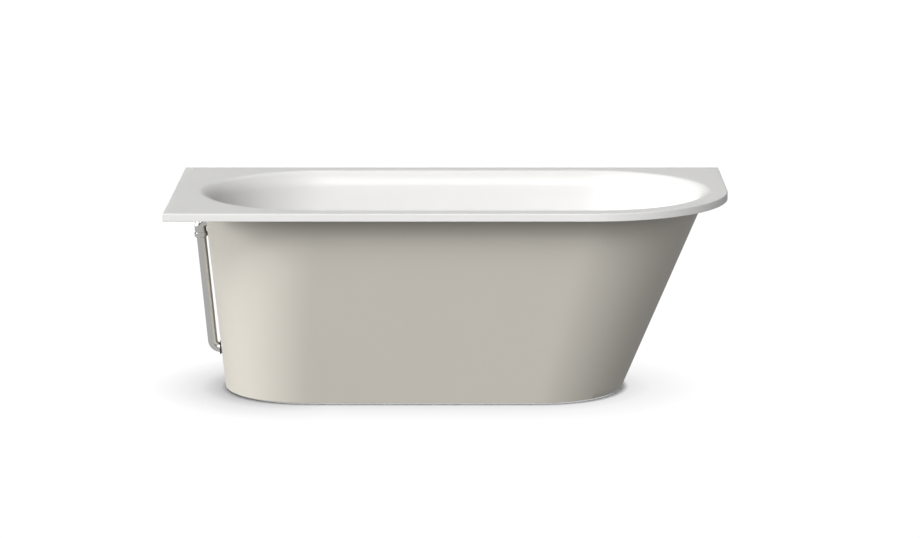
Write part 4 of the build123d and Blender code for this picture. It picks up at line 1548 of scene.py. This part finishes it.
@dataclass
class LevellingFeet:
    """Six screwed feet: threaded spindles on moulded pads, with lock nuts below the frame."""

    xs: Spot = (-0.530, -0.085, 0.360)
    y: float = 0.150
    spindle_radius: float = 0.006
    spindle_top: float = 0.119
    spindle_sink: float = 0.0005
    thread: Place = (0.00175, 0.0009)
    thread_clearance: float = 0.0001
    collar_flats: float = 0.017
    collar_under: float = 0.016
    collar_top: float = 0.022
    bevel: float = 0.001
    pin_radius: float = 0.004
    pin_under: float = 0.007
    pin_bite: float = 0.001
    pin_round: float = 0.0006
    nut_flats: float = 0.019
    nut_under: float = 0.071
    nut_top: float = 0.077
    pad_radius: float = 0.025
    pad_rim: float = 0.004
    pad_rounds: tuple[float, ...] = (0.0008, 0.0012, 0.0015, 0.0008)
    hub_radius: float = 0.012
    hub_shoulder: float = 0.012
    pad_height: float = 0.016
    pin_hole: float = 0.0041
    hole_floor: float = 0.0067
    tread: float = 0.0006
    tread_rings: Spot = (0.007, 0.013, 0.019)
    tread_halves: Place = (0.0012, 0.0008)

    def pad(self, number: int, place: Place) -> None:
        """One pad: a soft foot with ringed tread below and a hub above.

        Args:
            number: The foot's number.
            place: Its axis, seen from above.
        """
        profile, (foot, crest) = [(0.0, 0.0)], self.tread_halves
        steps = ((-foot, 0.0), (-crest, self.tread), (crest, self.tread), (foot, 0.0))
        for middle in self.tread_rings:
            profile += [(middle + step, height) for step, height in steps]
        first, second, third, fourth = self.pad_rounds
        corners = [
            (self.pad_radius, 0.0, first),
            (self.pad_radius, self.pad_rim, second),
            (self.hub_radius, self.hub_shoulder, third),
            (self.hub_radius, self.pad_height, fourth),
            (self.pin_hole, self.pad_height, 0.0),
            (self.pin_hole, self.hole_floor, 0.0),
            (0.0, self.hole_floor, 0.0),
        ]
        grid = turned(profile + rounded(corners), (*place, 0.0))
        body, node = f"foot_{number}", f"foot_pad_{number}"
        fit_out(f"foot_pad_moulded_{number}", "black_nylon", body, node, grid)

    def spindle(self, number: int, place: Place) -> None:
        """One spindle: the thread, the hexagon that turns it, and the pin in the pad.

        Args:
            number: The foot's number.
            place: Its axis, seen from above.
        """
        low, pin, high = self.pin_under, self.pin_radius, self.collar_under + self.pin_bite
        corners = [(0.0, low, 0.0), (pin, low, self.pin_round), (pin, high, 0.0), (0.0, high, 0.0)]
        start, under, top = self.collar_top - self.spindle_sink, self.collar_under, self.collar_top
        grids = (
            threaded(self.spindle_radius, start, self.spindle_top, place, *self.thread),
            hexagon(self.collar_flats, under, top, place, bevel=self.bevel),
            turned(rounded(corners), (*place, 0.0), segments=COARSE),
        )
        body, node = f"foot_{number}", f"foot_spindle_{number}"
        fit_out(f"foot_spindle_threaded_{number}", "zinc_steel", body, node, *grids)

    def build(self) -> None:
        """Make all six feet and their lock nuts."""
        places = [(x, side * self.y) for side in (-1.0, 1.0) for x in self.xs]
        for number, place in enumerate(places, start=1):
            self.pad(number, place)
            self.spindle(number, place)
        size = (self.nut_flats, self.nut_under, self.nut_top)
        bore = self.spindle_radius + self.thread_clearance
        nuts = [hexagon(*size, place, bore, self.bevel) for place in places]
        fit_out("foot_lock_nut_set", "zinc_steel", ROOT, "foot_lock_nuts", *nuts)


@dataclass
class Studio:
    """Pale floor, soft light and the camera, all in metres in the frame of the tub."""

    image_width: float = 920.0
    focal_pixels: float = 3571.0
    principal_x: float = 477.2
    sensor: float = 36.0
    pitch: float = 10.94
    clip_end: float = 200.0
    camera_place: Spot = (0.0762, -10.1875, 2.3156)
    floor_half: float = 40.0
    softness: float = 30.0
    # Each lamp's height above the horizon, its turn from the front, both in degrees, and what
    # it adds to a white surface that faces it.
    lamps: tuple[Spot, ...] = (
        (45.0, -30.0, 0.446),
        (45.0, 0.0, 0.285),
        (25.0, -30.0, 0.149),
        (25.0, 0.0, 0.232),
        (8.0, -60.0, 0.079),
        (8.0, -90.0, 0.968),
        (45.0, 180.0, 0.149),
        (25.0, 60.0, 0.035),
    )
    floor_seen: float = 1.03
    floor_bounce: float = 0.350
    floor_mirrored: float = 0.55
    room_mirrored: float = 0.10
    # Two shades round the foot, each with its reach in metres and its weight.
    shades: tuple[Place, Place] = ((0.25, 0.75), (0.08, 0.5))
    shade_ends: Place = (-0.62, -0.35)
    shade_depths: Place = (1.0, 0.42)
    gap_reach: float = 0.03
    gap_levels: Place = (0.42, 0.62)
    shade_samples: int = 4

    def camera(self) -> None:
        """Stand the camera where the photograph was taken from."""
        lens = bpy.data.cameras.new("camera")
        lens.sensor_width = self.sensor
        lens.lens = self.focal_pixels * self.sensor / self.image_width
        lens.shift_x = (self.image_width / 2.0 - self.principal_x) / self.image_width
        lens.clip_end = self.clip_end
        camera = linked("camera", lens)
        camera.location = self.camera_place
        camera.rotation_euler = (radians(90.0 - self.pitch), 0.0, 0.0)
        bpy.context.scene.camera = camera

    def sun(self, name: str, height: float, turn: float, strength: float) -> None:
        """Set one broad soft light, so far off that it is even all over the floor.

        Args:
            name: The light's name.
            height: How high it stands above the horizon, in degrees.
            turn: 0 in front of the tub, negative towards its left, in degrees.
            strength: What it adds to a white surface that faces it.
        """
        light = bpy.data.lights.new(name, "SUN")
        light.angle, light.energy = radians(self.softness), strength * pi
        up, side = radians(height), radians(turn)
        way = Vector((sin(side) * cos(up), -cos(side) * cos(up), sin(up)))
        linked(name, light).rotation_euler = way.to_track_quat("Z", "Y").to_euler()

    def openness(self, nodes: Nodes, reach: float) -> Socket:
        """How open a spot of the floor is to the sky within a reach, from 0 to 1."""
        kind, samples = "ShaderNodeAmbientOcclusion", self.shade_samples
        return nodes.add(kind, Distance=reach, samples=samples).outputs["AO"]

    def floor_light(self, nodes: Nodes) -> Socket:
        """How bright the floor is where the camera sees it.

        The shade follows how enclosed a spot is, and is deeper at the left end. A narrow gap
        under the tub's foot is dark.

        Args:
            nodes: The floor's tree.

        Returns:
            The brightness's socket.
        """
        place = nodes.add("ShaderNodeTexCoord").outputs["Object"]
        x_place = nodes.add("ShaderNodeSeparateXYZ", Vector=place).outputs[0]
        (start, end), (deep, light) = self.shade_ends, self.shade_depths
        side = nodes.add("ShaderNodeMapRange", Value=x_place, From_Min=start, From_Max=end)
        nodes.feed(deep, side.inputs["To Min"])
        nodes.feed(light, side.inputs["To Max"])
        levels = []
        for reach, weight in self.shades:
            levels.append(nodes.blend(self.openness(nodes, reach), 1.0 - weight, 1.0))
        sided = nodes.blend(side.outputs[0], 1.0, nodes.math("MULTIPLY", *levels))
        gap, (dark, clear) = self.openness(nodes, self.gap_reach), self.gap_levels
        gap_light = nodes.add("ShaderNodeMapRange", Value=gap, From_Min=dark, From_Max=clear)
        seen = nodes.math("MULTIPLY", sided, gap_light.outputs[0])
        return nodes.math("MULTIPLY", seen, self.floor_seen)

    def floor(self) -> None:
        """Lay a pale floor that is near white, with a soft shade close round the tub's foot.

        It sends the same even light back to the tub wherever it is seen from, and from below it
        can be seen through.
        """
        h = self.floor_half
        mesh = bpy.data.meshes.new("floor")
        corners = [(-h, -h, 0.0), (h, -h, 0.0), (h, h, 0.0), (-h, h, 0.0)]
        mesh.from_pydata(corners, [], [(0, 1, 2, 3)])
        plane = linked("floor", mesh)
        made = bpy.data.materials.new("pale_floor")
        made.use_nodes = True
        nodes = Nodes(made.node_tree)
        rays = nodes.add("ShaderNodeLightPath").outputs
        unseen = nodes.blend(rays["Is Glossy Ray"], self.floor_bounce, self.floor_mirrored)
        strength = nodes.blend(rays["Is Camera Ray"], unseen, self.floor_light(nodes))
        glow = nodes.add("ShaderNodeEmission", Strength=strength).outputs[0]
        from_below = nodes.add("ShaderNodeNewGeometry").outputs["Backfacing"]
        clear = nodes.add("ShaderNodeBsdfTransparent").outputs[0]
        one_sided = nodes.add("ShaderNodeMixShader")
        for number, value in enumerate((from_below, glow, clear)):
            nodes.feed(value, one_sided.inputs[number])
        nodes.feed(one_sided.outputs[0], nodes.add("ShaderNodeOutputMaterial").inputs[0])
        mesh.materials.append(made)

    def world(self) -> None:
        """Give polished metal a bright room to mirror, without adding to the lamps' light."""
        world = bpy.data.worlds.new("room")
        bpy.context.scene.world = world
        world.use_nodes = True
        nodes = Nodes(world.node_tree)
        rays = nodes.add("ShaderNodeLightPath").outputs
        unseen = nodes.blend(rays["Is Glossy Ray"], 0.0, self.room_mirrored)
        seen = nodes.blend(rays["Is Camera Ray"], unseen, 1.0)
        back = nodes.add("ShaderNodeBackground", Color=(1.0, 1.0, 1.0, 1.0), Strength=seen)
        nodes.feed(back.outputs[0], nodes.add("ShaderNodeOutputWorld").inputs[0])

    def build(self) -> None:
        """Set up camera, floor and light."""
        self.camera()
        self.floor()
        self.world()
        for number, lamp in enumerate(self.lamps, start=1):
            self.sun(f"soft_light_{number}", *lamp)
        bpy.context.scene.view_settings.view_transform = "Standard"


def dress_nodes() -> None:
    """Give every node that still shows the finish of its slot in the record."""
    for entry in frame["record"]["subparts"]:
        materials = frame["nodes"][entry["node"]].data.materials
        materials.clear()
        materials.append(finish_material(entry["material_slot"]))


def main() -> None:
    """Build every sub-assembly in order and report each piece."""
    logging.basicConfig(level=logging.INFO, format="%(name)s: %(message)s")
    Studio().build()
    dress_nodes()
    for group in (TubShell(), OverflowSet(), WasteSet(), TrapRun(), SteelFrame(), LevellingFeet()):
        group.build()


if __name__ == "__main__":
    main()
